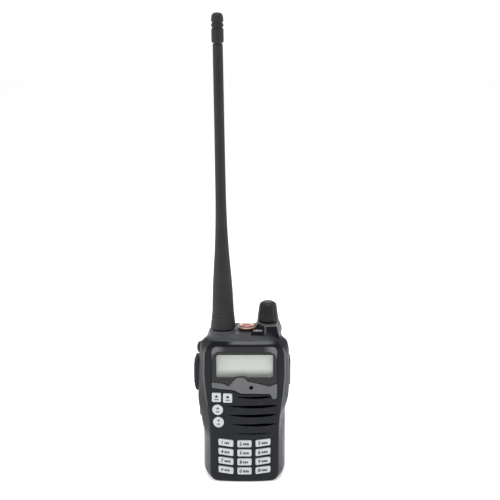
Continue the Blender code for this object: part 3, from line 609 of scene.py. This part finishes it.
new_box, new_prism, new_pillow = fresh(add_box), fresh(add_prism), fresh(add_pillow)
new_turned, new_cylinder = fresh(add_turned), fresh(add_cylinder)
new_rings, new_loft = fresh(add_rings), fresh(add_loft)


def circle(centre, radii, count):
    turn = [2 * math.pi * k / count for k in range(count)]
    return [(centre[0] + radii[0] * math.cos(t), centre[1] + radii[1] * math.sin(t)) for t in turn]


def bend(path, radii, steps=4):
    """The open path with each inner corner replaced by a curve."""
    points = [tuple(path[0])]
    for before, here, after, radius in zip(path, path[1:], path[2:], radii):
        a, b, c = Vector(before), Vector(here), Vector(after)
        reach = min(radius, (b - a).length * 0.45, (c - b).length * 0.45)
        p, q = b + (a - b).normalized() * reach, b + (c - b).normalized() * reach
        for k in range(steps + 1):
            t = k / steps
            points.append(tuple(p * (1 - t) ** 2 + b * 2 * t * (1 - t) + q * t * t))
    points.append(tuple(path[-1]))
    return points


# ---------------- the body's outer form

def at(table, z):
    return float(np.interp(z, [row[0] for row in table], [row[1] for row in table]))


def soft_at(table, z, reach=2.0):
    """The table's value with its corners smoothed over a short height."""
    return sum(at(table, z + reach * k / 4) for k in range(-4, 5)) / 9


def corner_inset(z):
    """How far the round lower corners draw the sides in."""
    up = max(0.0, BOTTOM_CORNER - z)
    return BOTTOM_CORNER - math.sqrt(BOTTOM_CORNER**2 - up**2)


def face_y(z):
    """Where the front face lies on the centre line."""
    if z < BOTTOM_EDGE:
        return FRONT_Y + BOTTOM_EDGE - math.sqrt(BOTTOM_EDGE**2 - (BOTTOM_EDGE - z) ** 2)
    edge_y = FRONT_Y + TOP_EDGE_BACK
    heights = [min(z + 1.1 * k / 4, HEIGHT) for k in range(-4, 5)]
    return float(np.mean(np.interp(heights, (88, TOP_EDGE_Z, HEIGHT), (FRONT_Y, edge_y, DECK_FRONT_Y))))


def front_half(z):
    return soft_at(FRONT_HALF, z) - corner_inset(z)


def front_y(x, z):
    return face_y(z) + CROWN * min(1.0, abs(x) / front_half(z)) ** 2


def both_sides(left, right, z):
    return [(-x, y, z) for x, y in reversed(left)] + [(x, y, z) for x, y in right]


def outer_ring(z):
    """The outer section, with rounded edges."""
    edge, y = front_half(z), face_y(z)
    reach = 2.0 if z < 84 else 0.9
    wing = soft_at(WING_HALF, z, reach) - corner_inset(z)
    rear = soft_at(REAR_HALF, z, reach) - corner_inset(z)
    corner_y = y + CROWN + 0.25
    wing_y = max(WING_Y, corner_y + 2.0)
    crown = [(edge * t, y + CROWN * t * t) for t in (0.001, 0.16, 0.32, 0.48, 0.62, 0.75, 0.85)]
    sides = []
    for more in (soft_at(LEFT_SWELL, z), 0.0):
        rear_x = rear + more * 0.3
        path = [(edge * 0.9, y + CROWN * 0.81), (edge - 0.1, corner_y), (wing + more, wing_y),
                (rear_x, max(REAR_Y, wing_y + 2)), (rear_x, SEAM_Y)]
        sides.append(crown + bend(path, (0.9, 2.4, 2.5)))
    return both_sides(*sides, z)


def inner_ring(z):
    """The section of the space inside the front case."""
    edge = at(FRONT_HALF, z) - corner_inset(z) - 0.8 * WALL
    wing = at(WING_HALF, z) - corner_inset(z) - WALL
    rear = at(REAR_HALF, z) - corner_inset(z) - WALL
    y = face_y(z) + FRONT_WALL
    corner_y = y + CROWN + 0.4
    wing_y = max(WING_Y, corner_y + 1.5)
    half = [(0.02, y), (edge * 0.4, y + CROWN * 0.16), (edge * 0.75, y + CROWN * 0.5625),
            (edge - 1.0, y + CROWN * 0.92), (edge, corner_y), (wing, wing_y),
            (rear, max(REAR_Y, wing_y + 2)), (rear, SEAM_Y + 2)]
    return both_sides(half, half, z)


def levels():
    """Heights of the outer sections, closer together at the bottom and the top."""
    low = [0, 0.12, 0.35, 0.7, 1.15, 1.65, 2.2, 3, 4, 5, 6, 7, 8, 9, 10.5]
    middle = list(np.arange(13, 87, 2.2))
    high = [87, 87.8, 88.6, 89.4, 90.2, 91, 91.5, 91.9, 92.2, 92.5, 92.8, 93.1, 93.6, 94.2, 94.7, 95]
    return low + [float(z) for z in middle] + high


# ---------------- keys' outlines

def pad_keys():
    names = ("1", "2", "3", "4", "5", "6", "7", "8", "9", "star", "0", "hash")
    for i, name in enumerate(names):
        row, column = divmod(i, 3)
        side = column - 1
        corners = CENTRE_KEY if side == 0 else [(-side * x, z) for x, z in SIDE_KEY]
        x0, z0 = side * PAD_COLUMN, PAD_ROWS[row] + PAD_SIDE_RISE * abs(side)
        yield f"key_{name}", (x0, z0), rounded([(x0 + x, z0 + z) for x, z in corners], KEY_CORNER)


def other_keys():
    w, h = SQUARE_KEY_HALF
    for name, (x, z) in zip(("key_menu", "key_band"), SQUARE_KEYS):
        corners = ((x - w, z + h), (x + w, z + h), (x + w, z - h), (x - w, z - h))
        yield name, (x, z), rounded(corners, KEY_CORNER)
    for name, (x, z) in zip(("key_up", "key_down"), ROUND_KEYS):
        yield name, (x, z), circle((x, z), (ROUND_KEY_RADIUS, ROUND_KEY_RADIUS), 40)


def all_keys():
    yield from pad_keys()
    yield from other_keys()


def slot_outline(left, right, z, width, points=24):
    """A slot that sags in the middle and thins towards its ends."""
    middle, half = (left + right) / 2, (right - left) / 2
    upper, lower = [], []
    for i in range(1, points):
        t = math.cos(math.pi * i / points)
        sag = z - SLOT_SAG * (1 - t * t)
        thick = width * 0.6 * math.sqrt(max(0.0, 1 - t * t)) * (0.75 + 0.25 * t)
        upper.append((middle + half * t, sag + thick))
        lower.append((middle + half * t, sag - thick))
    return [(right, z), *upper, (left, z), *reversed(lower)]


def side_outline(box, grow, radius=SIDE_ROUND):
    y0, y1, z0, z1 = box
    return rectangle(y0 - grow, y1 + grow, z0 - grow, z1 + grow, radius + grow)


# ---------------- front case

def front_case():
    case = piece("vis_front_case", new_loft([outer_ring(z) for z in levels()]), CASE,
                 stands_for="front_case")
    # The pedestal under the knob, with a foot that spreads onto the deck, and the antenna's collar
    back = SEAM_Y - 0.05
    foot = [(x, min(y, back)) for x, y in offset(PEDESTAL, PEDESTAL_FLARE)]
    base = [(min(x, 23.0), min(max(y, -13.4), back)) for x, y in offset(PEDESTAL, PEDESTAL_FLARE * 2.2)]
    top = offset(PEDESTAL, -0.25)
    rings = [(base, 91.0), (foot, 95.6), (PEDESTAL, PEDESTAL_Z - 0.25), (top, PEDESTAL_Z)]
    steps = [(JOIN, new_loft([[(x, y, z) for x, y in ring] for ring, z in rings]))]
    collar = [(0.9, 91), (0.35, 94.6), (0.15, 95.2), (-0.15, 95.65), (-0.55, 95.92), (-1.0, COLLAR_Z)]
    collar = [(0, 91), *[(COLLAR_RADIUS + more, z) for more, z in collar], (0, COLLAR_Z)]
    steps.append((JOIN, new_turned(collar, ANTENNA)))

    # The space inside, closed by a flat roof
    inner = [inner_ring(z) for z in (2.2, 5, 9, 20, 32, 38, 44, 50, 56, 62, 70, 79, 86, 88.4, 90.5)]
    roof = [(x * 0.94, max(y, -13.0), 92.4) for x, y, _ in inner[-1]]
    steps.append((CUT, new_loft([*inner, roof])))

    # Display pocket with rounded upper corners, display opening, microphone hole and speaker slots
    low = [(x, z - 0.3) for x, z in reversed(BAND_BOTTOM[1:-1])]
    corners = [(20.6, WINDOW_TOP + 0.4), (-20.6, WINDOW_TOP + 0.4), (-20.6, 61.6), *low, (20.6, 55.2)]
    pocket = rounded(corners, [3.4, 3.4, 1.0] + [0] * len(low) + [1.0])
    steps.append((CUT, new_prism(pocket, FRONT_Y - 3, -16.1)))
    openings = new_prism(rectangle(-18.3, 18.3, 66.9, 83.9), -19, -12.5)
    add_cylinder(openings, MIC_HOLE, 0.8, -19, -12.5, "Y", 24)
    for slot in SLOTS:
        add_prism(openings, slot_outline(*slot), -20, -13)
    steps.append((CUT, openings))
    steps += [(CUT, new_box(*ranges)) for ranges in HOLLOWS]
    holes = bmesh.new()
    for _, _, outline in all_keys():
        add_prism(holes, offset(outline, KEY_CLEARANCE), -20, -12.2)
    steps.append((CUT, holes))

    # Openings for the side controls, the jacks, the antenna, the lamp and the knob
    sides = bmesh.new()
    for box in (PTT, UPPER_SIDE_KEY, LOWER_SIDE_KEY):
        add_prism(sides, side_outline(box, SIDE_GAP), -34, -18, "X")
    y0, y1, z0, z1 = COVER
    flap = side_outline((y0, y1 + 1.2, z0, z1), SIDE_GAP, COVER_ROUND)
    add_prism(sides, flap, COVER_X[0] - 0.25, 34, "X")
    steps.append((CUT, sides))
    bores = bmesh.new()
    for y, z, radius in JACKS:
        add_cylinder(bores, (y, z), radius, 24, 30, "X")
    add_cylinder(bores, ANTENNA, 3.5, 88, 99)
    add_cylinder(bores, LAMP, 4.2, 88, 99)
    add_turned(bores, ((0, 88), (5.2, 88), (5.2, 97.9), (4.4, 97.9), (4.4, 103), (0, 103)), KNOB)
    steps.append((CUT, bores))
    boolean(case, *steps, angle=24)


# ---------------- display

def display():
    glass = [(x, z + 0.3) for x, z in BAND_TOP]
    corners = ((WINDOW_HALF, 80), (WINDOW_HALF, WINDOW_TOP), (-WINDOW_HALF, WINDOW_TOP), (-WINDOW_HALF, 80))
    glass += [p for p in rounded(corners, 3.2, 8) if p[1] > WINDOW_TOP - 3.21]
    seen = rectangle(*LCD_SEEN, 1.0)
    plate = new_rings(inset_rings(glass, [(-16.3, 0.0), (-16.92, 0.0), (-17.0, 0.05), (-17.05, 0.15)]))
    plate = piece("vis_window_satin", plate, SATIN_REFLECTION, stands_for="display_window")
    boolean(plate, (CUT, new_prism(offset(MASK, -0.4), -18, -15)))
    mask = new_rings(inset_rings(MASK, [(-16.35, 0.0), (-16.98, 0.0), (-17.07, 0.09), (-17.1, 0.2)]))
    mask = piece("vis_window_mask", mask, MASK_LOOK)
    boolean(mask, (CUT, new_rings(inset_rings(seen, ((-18, -0.5), (-16.9, 0), (-15, 0))))))
    piece("vis_window_pane", new_prism(offset(seen, -0.02), -16.85, -16.6), PANE)

    outline = rounded([*BAND_TOP, *BAND_BOTTOM], [0.5, 0.8, 0.5, 0.6, 0.6, 0.6, 0.6, 0.8, 0.5,
                                                  0.5, 0.5, 0.5, 0.5, 0.5, 0.8, 0.8, 0.8, 0.5], 3)
    rows = [(-16.3, 0.0), (-17.1, 0.0), (-17.22, 0.06), (-17.28, 0.16), (-17.3, 0.3)]
    band = piece("vis_display_band", new_rings(inset_rings(outline, rows)), TRIM, stands_for="display_bezel")
    hole = ((0, -19), (1.4, -19), (1.3, -17.25), (1.2, -17.1), (1.2, -15), (0, -15))
    boolean(band, (CUT, new_turned(hole, MIC_HOLE, "Y", 32)))
    face = new_prism(rectangle(-19.0, 19.0, 65.8, 85.6, 0.6), -14.9, -13.2)
    piece("vis_lcd", face, LCD, stands_for="lcd_panel")


# ---------------- keys and their marks

def text_faces(character, height):
    """Flat outline mesh of a character, as (points, faces) centred on the origin."""
    curve = bpy.data.curves.new("character", "FONT")
    curve.body = character
    curve.size = height / CAPITAL_SHARE
    curve.resolution_u = 3
    curve.extrude = 0.05
    curve.offset = 0.08
    obj = new_object("character", curve)
    graph = bpy.context.evaluated_depsgraph_get()
    mesh = bpy.data.meshes.new_from_object(obj.evaluated_get(graph))
    points = [tuple(v.co) for v in mesh.vertices]
    faces = [tuple(p.vertices) for p in mesh.polygons]
    bpy.data.objects.remove(obj)
    low = [min(p[i] for p in points) for i in (0, 1)]
    high = [max(p[i] for p in points) for i in (0, 1)]
    centre = [(a + b) / 2 for a, b in zip(low, high)]
    return [(x - centre[0], y - centre[1], d) for x, y, d in points], faces


def add_character(bm, character, height, x0, z0, slant=0.12):
    points, faces = text_faces(character, height)
    made = []
    for x, z, depth in points:
        u, v = x0 + x + slant * z, z0 + z
        made.append(bm.verts.new((u, front_y(u, v) - KEY_PROUD + (-INK_PROUD if depth > 0 else INK_SUNK), v)))
    for face in faces:
        bm.faces.new([made[i] for i in face])


def add_mark(bm, outline):
    """A small printed shape that lies on the key's face."""
    add_rings(bm, [[(u, front_y(u, v) - KEY_PROUD + depth, v) for u, v in outline]
                   for depth in (-INK_PROUD, INK_SUNK)])


def add_bar(bm, x, z, width, height):
    add_mark(bm, rectangle(x - width / 2, x + width / 2, z - height / 2, z + height / 2))


def key_cap(name, outline):
    rings = [[(x, KEY_FOOT_Y, z) for x, z in outline]]
    for shift, inset in fillet(KEY_ROUND):
        rings.append([(x, front_y(x, z) - KEY_PROUD - shift, z) for x, z in offset(outline, -inset)])
    bm = new_rings(rings)
    xs, zs = [p[0] for p in outline], [p[1] for p in outline]
    add_box(bm, (min(xs) + 0.5, max(xs) - 0.5), (KEY_FOOT_Y, -13.3), (min(zs) - 0.2, max(zs) + 0.2))
    piece(f"vis_{name}", bm, CAP, f"{name}_body", name, angle=50)


def printed(name, mark, bm, look):
    piece(f"vis_{name}_{mark}", bm, look, f"{name}_body")


def keys():
    for i, (name, (x, z), outline) in enumerate(pad_keys()):
        key_cap(name, outline)
        slope = ((i % 3) - 1) * PAD_SLOPE
        character = {"key_star": "*", "key_hash": "#"}.get(name, name[-1])
        ink = bmesh.new()
        height = STAR_HEIGHT if character == "*" else DIGIT_HEIGHT
        add_character(ink, character, height, x - 2.35, z + 0.05 - slope * 2.3)
        printed(name, "digit", ink, INK)
        bars = bmesh.new()
        along = x + BARS_START
        for width in PAD_BARS[i]:
            add_bar(bars, along + width / 2, z - 0.15 + slope * (along - x), width, BAR_HEIGHT)
            along += width + BAR_GAP
        printed(name, "mark", bars, INK_LIGHT)

    for i, (name, (x, z), outline) in enumerate(other_keys()):
        key_cap(name, outline)
        if i == 0:
            icon = [(x - 0.9, z + 0.1), (x + 0.9, z + 0.1), (x + 0.9, z + 0.55), (x + 0.35, z + 1.5),
                    (x - 0.35, z + 1.5), (x - 0.9, z + 0.55)]
        elif i == 1:
            icon = circle((x, z + 0.75), (0.95, 0.75), 20)
        else:
            up = 1 if i == 2 else -1
            middle = z + 1.15
            icon = [(x - 1.0, middle - 0.6 * up), (x + 1.0, middle - 0.6 * up), (x, middle + 0.8 * up)]
        ink = bmesh.new()
        add_mark(ink, icon)
        printed(name, "icon", ink, INK)
        word = bmesh.new()
        shifts, low, tall = ((-0.95, 0, 0.95), z - 1.25, 0.75) if i < 2 else ((-0.5, 0.5), z - 1.15, 1.0)
        for shift in shifts:
            add_bar(word, x + shift, low, 0.7, tall)
        printed(name, "mark", word, INK_LIGHT)


# ---------------- top deck

def leaning(bm):
    """The whip bends a little over its first 30 mm and then leans straight."""
    for vert in bm.verts:
        rise = max(0.0, vert.co.z - ANTENNA_LEAN_FROM)
        vert.co.x -= rise * math.tan(ANTENNA_LEAN) + min(1.0, rise / 30) * 0.1
    return bm


def antenna():
    sleeve = [(0, 105.6), (4.4, 105.6), (4.4, ANTENNA_BASE_Z + 0.02), (7.2, ANTENNA_BASE_Z), (7.55, 96.95),
              (7.7, 97.4), (7.68, 98.2), (7.4, 101.2), (7.32, 102.1), (7.04, 102.35), (7.04, 102.85),
              (7.2, 103.1), (7.12, 104.3), (6.84, 104.55), (6.84, 105.1), (6.98, 105.35), (6.88, 106.6),
              (6.6, 106.85), (6.6, 107.4), (6.78, 107.65)]
    taper = ((108.6, 6.72), (116.4, 6.4), (124.1, 6.04), (131.8, 5.5), (139.4, 4.88), (147, 4.35),
             (154.6, 3.98), (162, 3.65), (177, 3.3), (192, 3.2), (221, 3.1), (272.4, 3.06))
    heights = (109, *range(112, 157, 4), 162, 168, 177, 192, 221, 250, 271.8)
    sleeve += [(soft_at(taper, z, 4.0), z) for z in heights]
    sleeve += [(2.6, 272.4), (0, 272.4)]
    tip = [(0, 272.8), (3.1, 272.8), (3.5, 273.2), (3.68, 273.9)]
    for low in (281.0, 283.9):
        tip += [(3.68, low), (3.62, low + 0.2), (3.15, low + 0.35), (3.15, low + 1.3), (3.62, low + 1.45),
                (3.68, low + 1.7)]
    tip += [(3.68, 286.8), (3.62, 287.4), (3.45, 288.6), (3.0, 289.7), (2.4, 290.3), (1.3, 290.65),
            (0, 290.7)]
    piece("vis_antenna_sleeve", leaning(new_turned(sleeve, ANTENNA)), RUBBER, "antenna", "antenna_whip",
          angle=40)
    piece("vis_antenna_tip", leaning(new_turned(tip, ANTENNA)), RUBBER, "antenna", "antenna_tip",
          angle=40)


def knob():
    def flute(radius, turn, w):
        """Ridges along the grip that fade out near the top and the foot."""
        strength = min(1.0, max(0.0, (w - 101.4) / 1.2), max(0.0, (111.9 - w) / 0.7))
        wave = abs(math.cos(turn * KNOB_RIDGES / 2)) ** 0.55
        return radius - KNOB_RIDGE_DEPTH * strength * (1 - wave)

    body = [(0, 113.2), (2.9, 113.2), (3.35, 113.15), (3.55, 113.0), (4.85, 112.15), (5.12, 111.9),
            (5.22, 111.5)]
    for z in np.linspace(111.0, 102.6, 12):
        body.append((float(np.interp(z, (101.5, 103, 106, 111.4), (6.45, 6.38, 6.05, 5.24))), float(z)))
    body += [(6.42, 101.9), (6.35, 101.3), (6.05, 100.95), (5.0, 100.9), (5.0, 102.4), (3.35, 102.4),
             (3.35, 109.2), (0, 109.2)]
    piece("vis_knob", new_turned(body, KNOB, steps=144, flute=flute), KNOB_LOOK, "knob", "tuning_knob",
          angle=40)


def lamp():
    x, y = LAMP_SEEN
    lens = [(0, 97.4), (3.4, 97.2), (4.3, 96.4), (4.3, 95.5), (5.3, 95.5), (5.65, 95.9), (5.72, 96.4),
            (5.55, 96.8), (5.2, 97.05), (4.95, 97.2), (4.8, 97.6), (4.4, 97.95), (3.8, 98.2), (2.9, 98.42),
            (1.6, 98.6), (0, 98.65)]
    piece("vis_lamp_lens", new_turned(lens, LAMP_SEEN), CREAM, "radio", "lamp_lens", angle=60)
    ring = ((0, 96.9), (4.6, 96.9), (5.15, 97.0), (5.25, 97.2), (5.15, 97.5), (4.85, 97.65), (4.5, 97.5),
            (0, 97.4))
    piece("vis_lamp_ring", new_turned(ring, LAMP_SEEN), RED, "radio", angle=60)
    marks = bmesh.new()
    for side in (-1, 1):
        add_prism(marks, circle((x + side * 1.05, y - 2.3), (0.8, 1.2), 20), 98.0, 98.55, "Z")
    piece("vis_lamp_mark", marks, RED, "radio")


def legend():
    """A black wedge on the deck, with a row of light marks near its top."""
    rings = [[(x0, y0, z), (x1, y0, z), (x1 - 0.6, y1, z), (x0 + 0.6, y1, z)] for z, y0, y1, x0, x1 in
             ((94.9, -12.6, -5.9, 3.9, 12.4), (96.0, -10.9, -5.8, 4.6, 11.7), (97.0, -8.6, -5.8, 5.5, 11.0))]
    piece("vis_legend", new_rings(rings), LEGEND, "radio", "legend_plate")
    marks = bmesh.new()
    for k, width in enumerate((1.0, 1.2, 0.9, 1.1)):
        x = 5.75 + k * 1.35
        low = [(x, -10.35, 96.28), (x + width, -10.35, 96.28), (x + width, -8.9, 96.86), (x, -8.9, 96.86)]
        add_rings(marks, [[(u, v, w) for u, v, w in low], [(u, v - 0.03, w + 0.07) for u, v, w in low]])
    piece("vis_legend_marks", marks, MARK, "radio")


# ---------------- side controls

def side_controls():
    for name, box, face, inner, body, ribs in (
        ("ptt_button", PTT, PTT_X, -24.0, "ptt", 7),
        ("side_key_upper", UPPER_SIDE_KEY, UPPER_SIDE_X, -24.0, "upper_side_key", 2),
        ("side_key_lower", LOWER_SIDE_KEY, LOWER_SIDE_X, -20.9, "lower_side_key", 2),
    ):
        y0, y1, z0, z1 = box
        middle, half = (z0 + z1) / 2, (z1 - z0) / 2
        rings = []
        for k in range(25):
            t = math.sin(math.pi / 2 * (k / 12 - 1))
            over = max(0.0, half * abs(t) - half + SIDE_ROUND)
            inset = SIDE_ROUND - math.sqrt(SIDE_ROUND**2 - over**2)
            out = face + 0.25 + SIDE_FACE_DROP * t**4
            corners = ((inner, y0 + inset), (inner, y1 - inset), (out, y1 - inset), (out, y0 + inset))
            ring = rounded(corners, [0, 0, SIDE_FACE_ROUND, SIDE_FACE_ROUND])
            rings.append([(x, y, middle + half * t) for x, y in ring])
        bm = new_rings(rings)
        add_box(bm, (inner - 0.9, inner + 0.1), (y0 - 0.8, y1 + 0.8), (z0 + 0.9, z1 - 1.5))
        step = (z1 - z0 - 4.0) / ribs
        for k in range(ribs):
            z = z0 + 2.0 + step * (k + 0.5)
            rib = rectangle(y0 + 1.6, y1 - 1.6, z - 0.32, z + 0.32, 0.3, 3)
            back = SIDE_FACE_DROP * ((z - middle) / half) ** 4
            add_pillow(bm, rib, face + 0.9 + back, face + back, 0.2, "X")
        piece(f"vis_{name}", bm, GRIP, body, name)
    inner, outer = COVER_X
    bm = new_pillow(side_outline(COVER, 0, COVER_ROUND), inner, outer - 0.1, 0.55, "X")
    y0, y1, z0, z1 = COVER
    add_pillow(bm, rectangle(y0 + 2.2, y1 - 2.2, z0 + 2.0, z1 - 2.0, 1.2), outer - 0.4, outer, 0.1, "X")
    piece("vis_jack_cover", bm, GRIP, "jack_flap", "jack_cover")


# ---------------- back

def mirrored(half_outline):
    return [*half_outline, *[(-x, z) for x, z in reversed(half_outline)]]


def rear_chassis():
    plain = mirrored(BLOCK_OUTLINE)
    outline = rounded(plain, [1.5, 2.0, 1.0, 1.8, 1.4, 1.5, 1.5, 1.4, 1.8, 1.0, 2.0, 1.5], 4)
    bm = new_pillow(outline, REAR_START_Y, 16.5, 1.0, "Y")
    chassis = piece("vis_rear_chassis", bm, CAST, "radio", "rear_chassis")
    steps = [(CUT, new_prism(offset(plain, -2.0), 6.0, 14.3)),
             (JOIN, new_box((-22.2, 22.2), (4.3, 6.4), (4.9, 67.8))),
             (JOIN, new_box((-21.8, 21.8), (4.6, 8.2), (66.3, 67.9)))]
    cuts = new_box((-10.0, 10.0), (3, 9), (7.8, 14.2))
    for side in (-1, 1):
        add_cylinder(cuts, (side * 5.5, 74.0), 1.5, 12, 18, "Y")
        seat = ((0, 12), (1.4, 12), (1.4, 15.0), (2.5, 15.0), (2.7, 18), (0, 18))
        add_turned(cuts, seat, (side * 18.4, 86.0), "Y", 32)
        for k in range(5):
            z = 69.5 + 2.6 * k
            left, right = sorted((side * 11.5, side * 22.5))
            add_prism(cuts, rectangle(left, right, z - 0.45, z + 0.45, 0.4, 3), 15.9, 18)
    steps.append((CUT, cuts))
    boolean(chassis, *steps)


def battery_outline():
    turn = [math.pi / 2 * i / 12 for i in range(13)]
    bottom = [(BATTERY_HALF - BOTTOM_CORNER * (1 - math.sin(t)), BOTTOM_CORNER * (1 - math.cos(t)))
              for t in turn]
    top = [(BATTERY_HALF - 5 + 5 * math.cos(t), BATTERY_TOP - 5 + 5 * math.sin(t)) for t in turn[::2]]
    return mirrored([*bottom, *top])


def battery():
    outline = battery_outline()
    tray = new_prism(outline, REAR_START_Y, 11.4)
    tray = piece("vis_battery_case", tray, REAR, "battery", "battery_case")
    boolean(tray, (CUT, new_prism(offset(outline, -1.8), 8.6, 12)),
            (CUT, new_box((-9.5, 9.5), (6, 9.5), (8.0, 14.0))))
    rows = ((11.5, 0), (13.4, 0.05), (14.4, 0.2), (15.4, 0.6), (16.2, 1.1), (16.9, 1.8), (17.4, 2.5),
            (17.8, 3.3), (18.0, 4.2))
    cover = new_rings(inset_rings(outline, rows))
    cover = piece("vis_battery_cover", cover, REAR, "battery", "battery_cover")
    inner = new_rings(inset_rings(outline, ((10.5, 1.8), (14.6, 2.2), (16.2, 4.0))))
    grooves = bmesh.new()
    for k in range(9):
        z = 9.5 + 4.2 * k
        add_prism(grooves, rectangle(-15.5, 15.5, z - 0.5, z + 0.5, 0.45, 3), 17.5, 19)
    boolean(cover, (CUT, inner), (CUT, new_box((-8.4, 8.4), (15.4, 20), (53.0, 62.9))),
            (CUT, new_box((-5.4, 5.4), (15.8, 20), (62.0, 66.0))),
            (CUT, new_box((-1.8, 1.8), (16.4, 20), (49.6, 53.5))), (CUT, grooves))

    latch = new_pillow(rectangle(-8.1, 8.1, 55.7, 62.6, 0.8, 4), 16.5, 18.3, 0.4, "Y")
    add_box(latch, (-5.1, 5.1), (16.5, 17.6), (61.0, 65.6))
    for k in range(4):
        z = 57.2 + 1.3 * k
        add_pillow(latch, rectangle(-6.4, 6.4, z - 0.3, z + 0.3, 0.25, 2), 18.1, 18.5, 0.15, "Y")
    piece("vis_battery_latch", latch, GRIP, "latch", "battery_latch")


def belt_clip():
    path = ((24.0, 90.4), (25.1, 90.4), (26.0, 88.0), (26.0, 34.0), (25.4, 28.6), (22.6, 25.2), (19.2, 27.2))
    profile = bend(path, (0.6, 1.5, 4.0, 2.0, 1.6))
    path = ((19.2, 28.7), (22.4, 27.3), (24.4, 30.0), (24.6, 34.0), (24.6, 87.0), (24.0, 90.3))
    profile += bend(path, (1.0, 1.5, 1.0, 1.0))
    rows = ((-8.8, 0.3), (-8.55, 0.06), (-8.2, 0), (8.2, 0), (8.55, 0.06), (8.8, 0.3))
    clip = piece("vis_belt_clip", new_rings(inset_rings(profile, rows, "X")), REAR, "clip", "belt_clip")
    steps = []
    for side in (-1, 1):
        x = sorted((side * 4.2, side * 6.2))
        steps.append((JOIN, new_box(x, (19.6, 25.0), (81.8, 86.2))))
    grooves = bmesh.new()
    for k in range(5):
        low = 36.0 + 2.6 * k
        add_prism(grooves, rectangle(-6.0, 6.0, low, low + 1.0, 0.45, 3), 25.6, 27)
    boolean(clip, *steps, (CUT, grooves), (CUT, new_cylinder(CLIP_PIN, 1.3, -8, 8, "X")))


# ---------------- looks of the CAD nodes that stay

def kept_nodes():
    looks = {
        STEEL: ("encoder_body", "encoder_shaft", "shield_can", "clip_spring", "latch_spring", "clip_pin"),
        DARK_STEEL: ("clip_bracket", "clip_screw_1", "clip_screw_2", "case_screw_1", "case_screw_2",
                     "speaker"),
        BRASS: ("antenna_jack", "antenna_plug", "battery_terminals", "battery_contacts"),
        BOARD: ("main_board", "side_switch_board"),
        SILICONE: ("keypad_mat",),
        CLOTH: ("speaker_cloth", "microphone"),
        CELL: ("battery_cell_1", "battery_cell_2"),
        GRIP: ("accessory_jacks",),
        RED: ("lamp_led", "lamp_reflector"),
    }
    for look, names in looks.items():
        for name in names:
            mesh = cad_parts[name].data
            mesh.materials.clear()
            mesh.materials.append(look)


front_case()
display()
keys()
antenna()
knob()
lamp()
legend()
side_controls()
rear_chassis()
battery()
belt_clip()
kept_nodes()


# ---------------- floor, backdrop, light and camera

def plane(name, corners, look):
    mesh = bpy.data.meshes.new(name)
    mesh.from_pydata(corners, [], [(0, 1, 2, 3)])
    mesh.materials.append(look)
    obj = new_object(name, mesh)


def glow(name, strength):
    """A plain white light-giving material."""
    made, nodes, links, out = bare_material(name)
    emit = nodes.new("ShaderNodeEmission")
    emit.inputs["Strength"].default_value = strength
    links.new(emit.outputs[0], out.inputs["Surface"])
    return made


def area(name, where, towards, size, power):
    light = bpy.data.lights.new(name, "AREA")
    light.shape = "RECTANGLE"
    light.size, light.size_y = size
    light.energy = power
    obj = new_object(name, light)
    obj.location = where
    obj.rotation_euler = (Vector(towards) - Vector(where)).to_track_quat("-Z", "Y").to_euler()


FLOOR = Look("floor_white", (0.88, 0.88, 0.88), 0.8, grain=300.0, depth=0.02, uneven=0.005, wear=0.02,
             shine=0.1)
FLOOR.shader.inputs["Emission Color"].default_value = (1, 1, 1, 1)
FLOOR.shader.inputs["Emission Strength"].default_value = 0.45
plane("floor", [(-4, -2.5, 0), (4, -2.5, 0), (4, 3, 0), (-4, 3, 0)], FLOOR.made)
plane("backdrop", [(-4, 3, -0.2), (4, 3, -0.2), (4, 3, 4), (-4, 3, 4)], glow("backdrop_white", 1.05))

world = bpy.data.worlds.new("studio")
world.use_nodes = True
background = world.node_tree.nodes["Background"]
background.inputs["Color"].default_value = (1.0, 1.0, 1.0, 1)
background.inputs["Strength"].default_value = 0.2
bpy.context.scene.world = world
bpy.context.scene.view_settings.view_transform = "Standard"

area("left_panel", (-0.9, -0.1, 0.45), (0, 0, 0.1), (0.9, 0.9), 5)
area("right_panel", (0.9, -0.1, 0.45), (0, 0, 0.1), (0.9, 0.9), 3.5)
area("top_panel", (0.0, 0.1, 1.3), (0, 0, 0.1), (1.2, 1.2), 8.2)
area("front_panel", (0.0, -0.62, 1.25), (0, 0, 0.1), (0.9, 0.8), 7.4)

lens = bpy.data.cameras.new("camera")
lens.lens = 105.12
lens.sensor_width = 36
lens.clip_start = 0.01
eye = new_object("camera", lens)
eye.location = (0.00345, -0.8755, 0.3541)
eye.rotation_euler = (math.radians(76.6), 0, 0)
bpy.context.scene.camera = eye
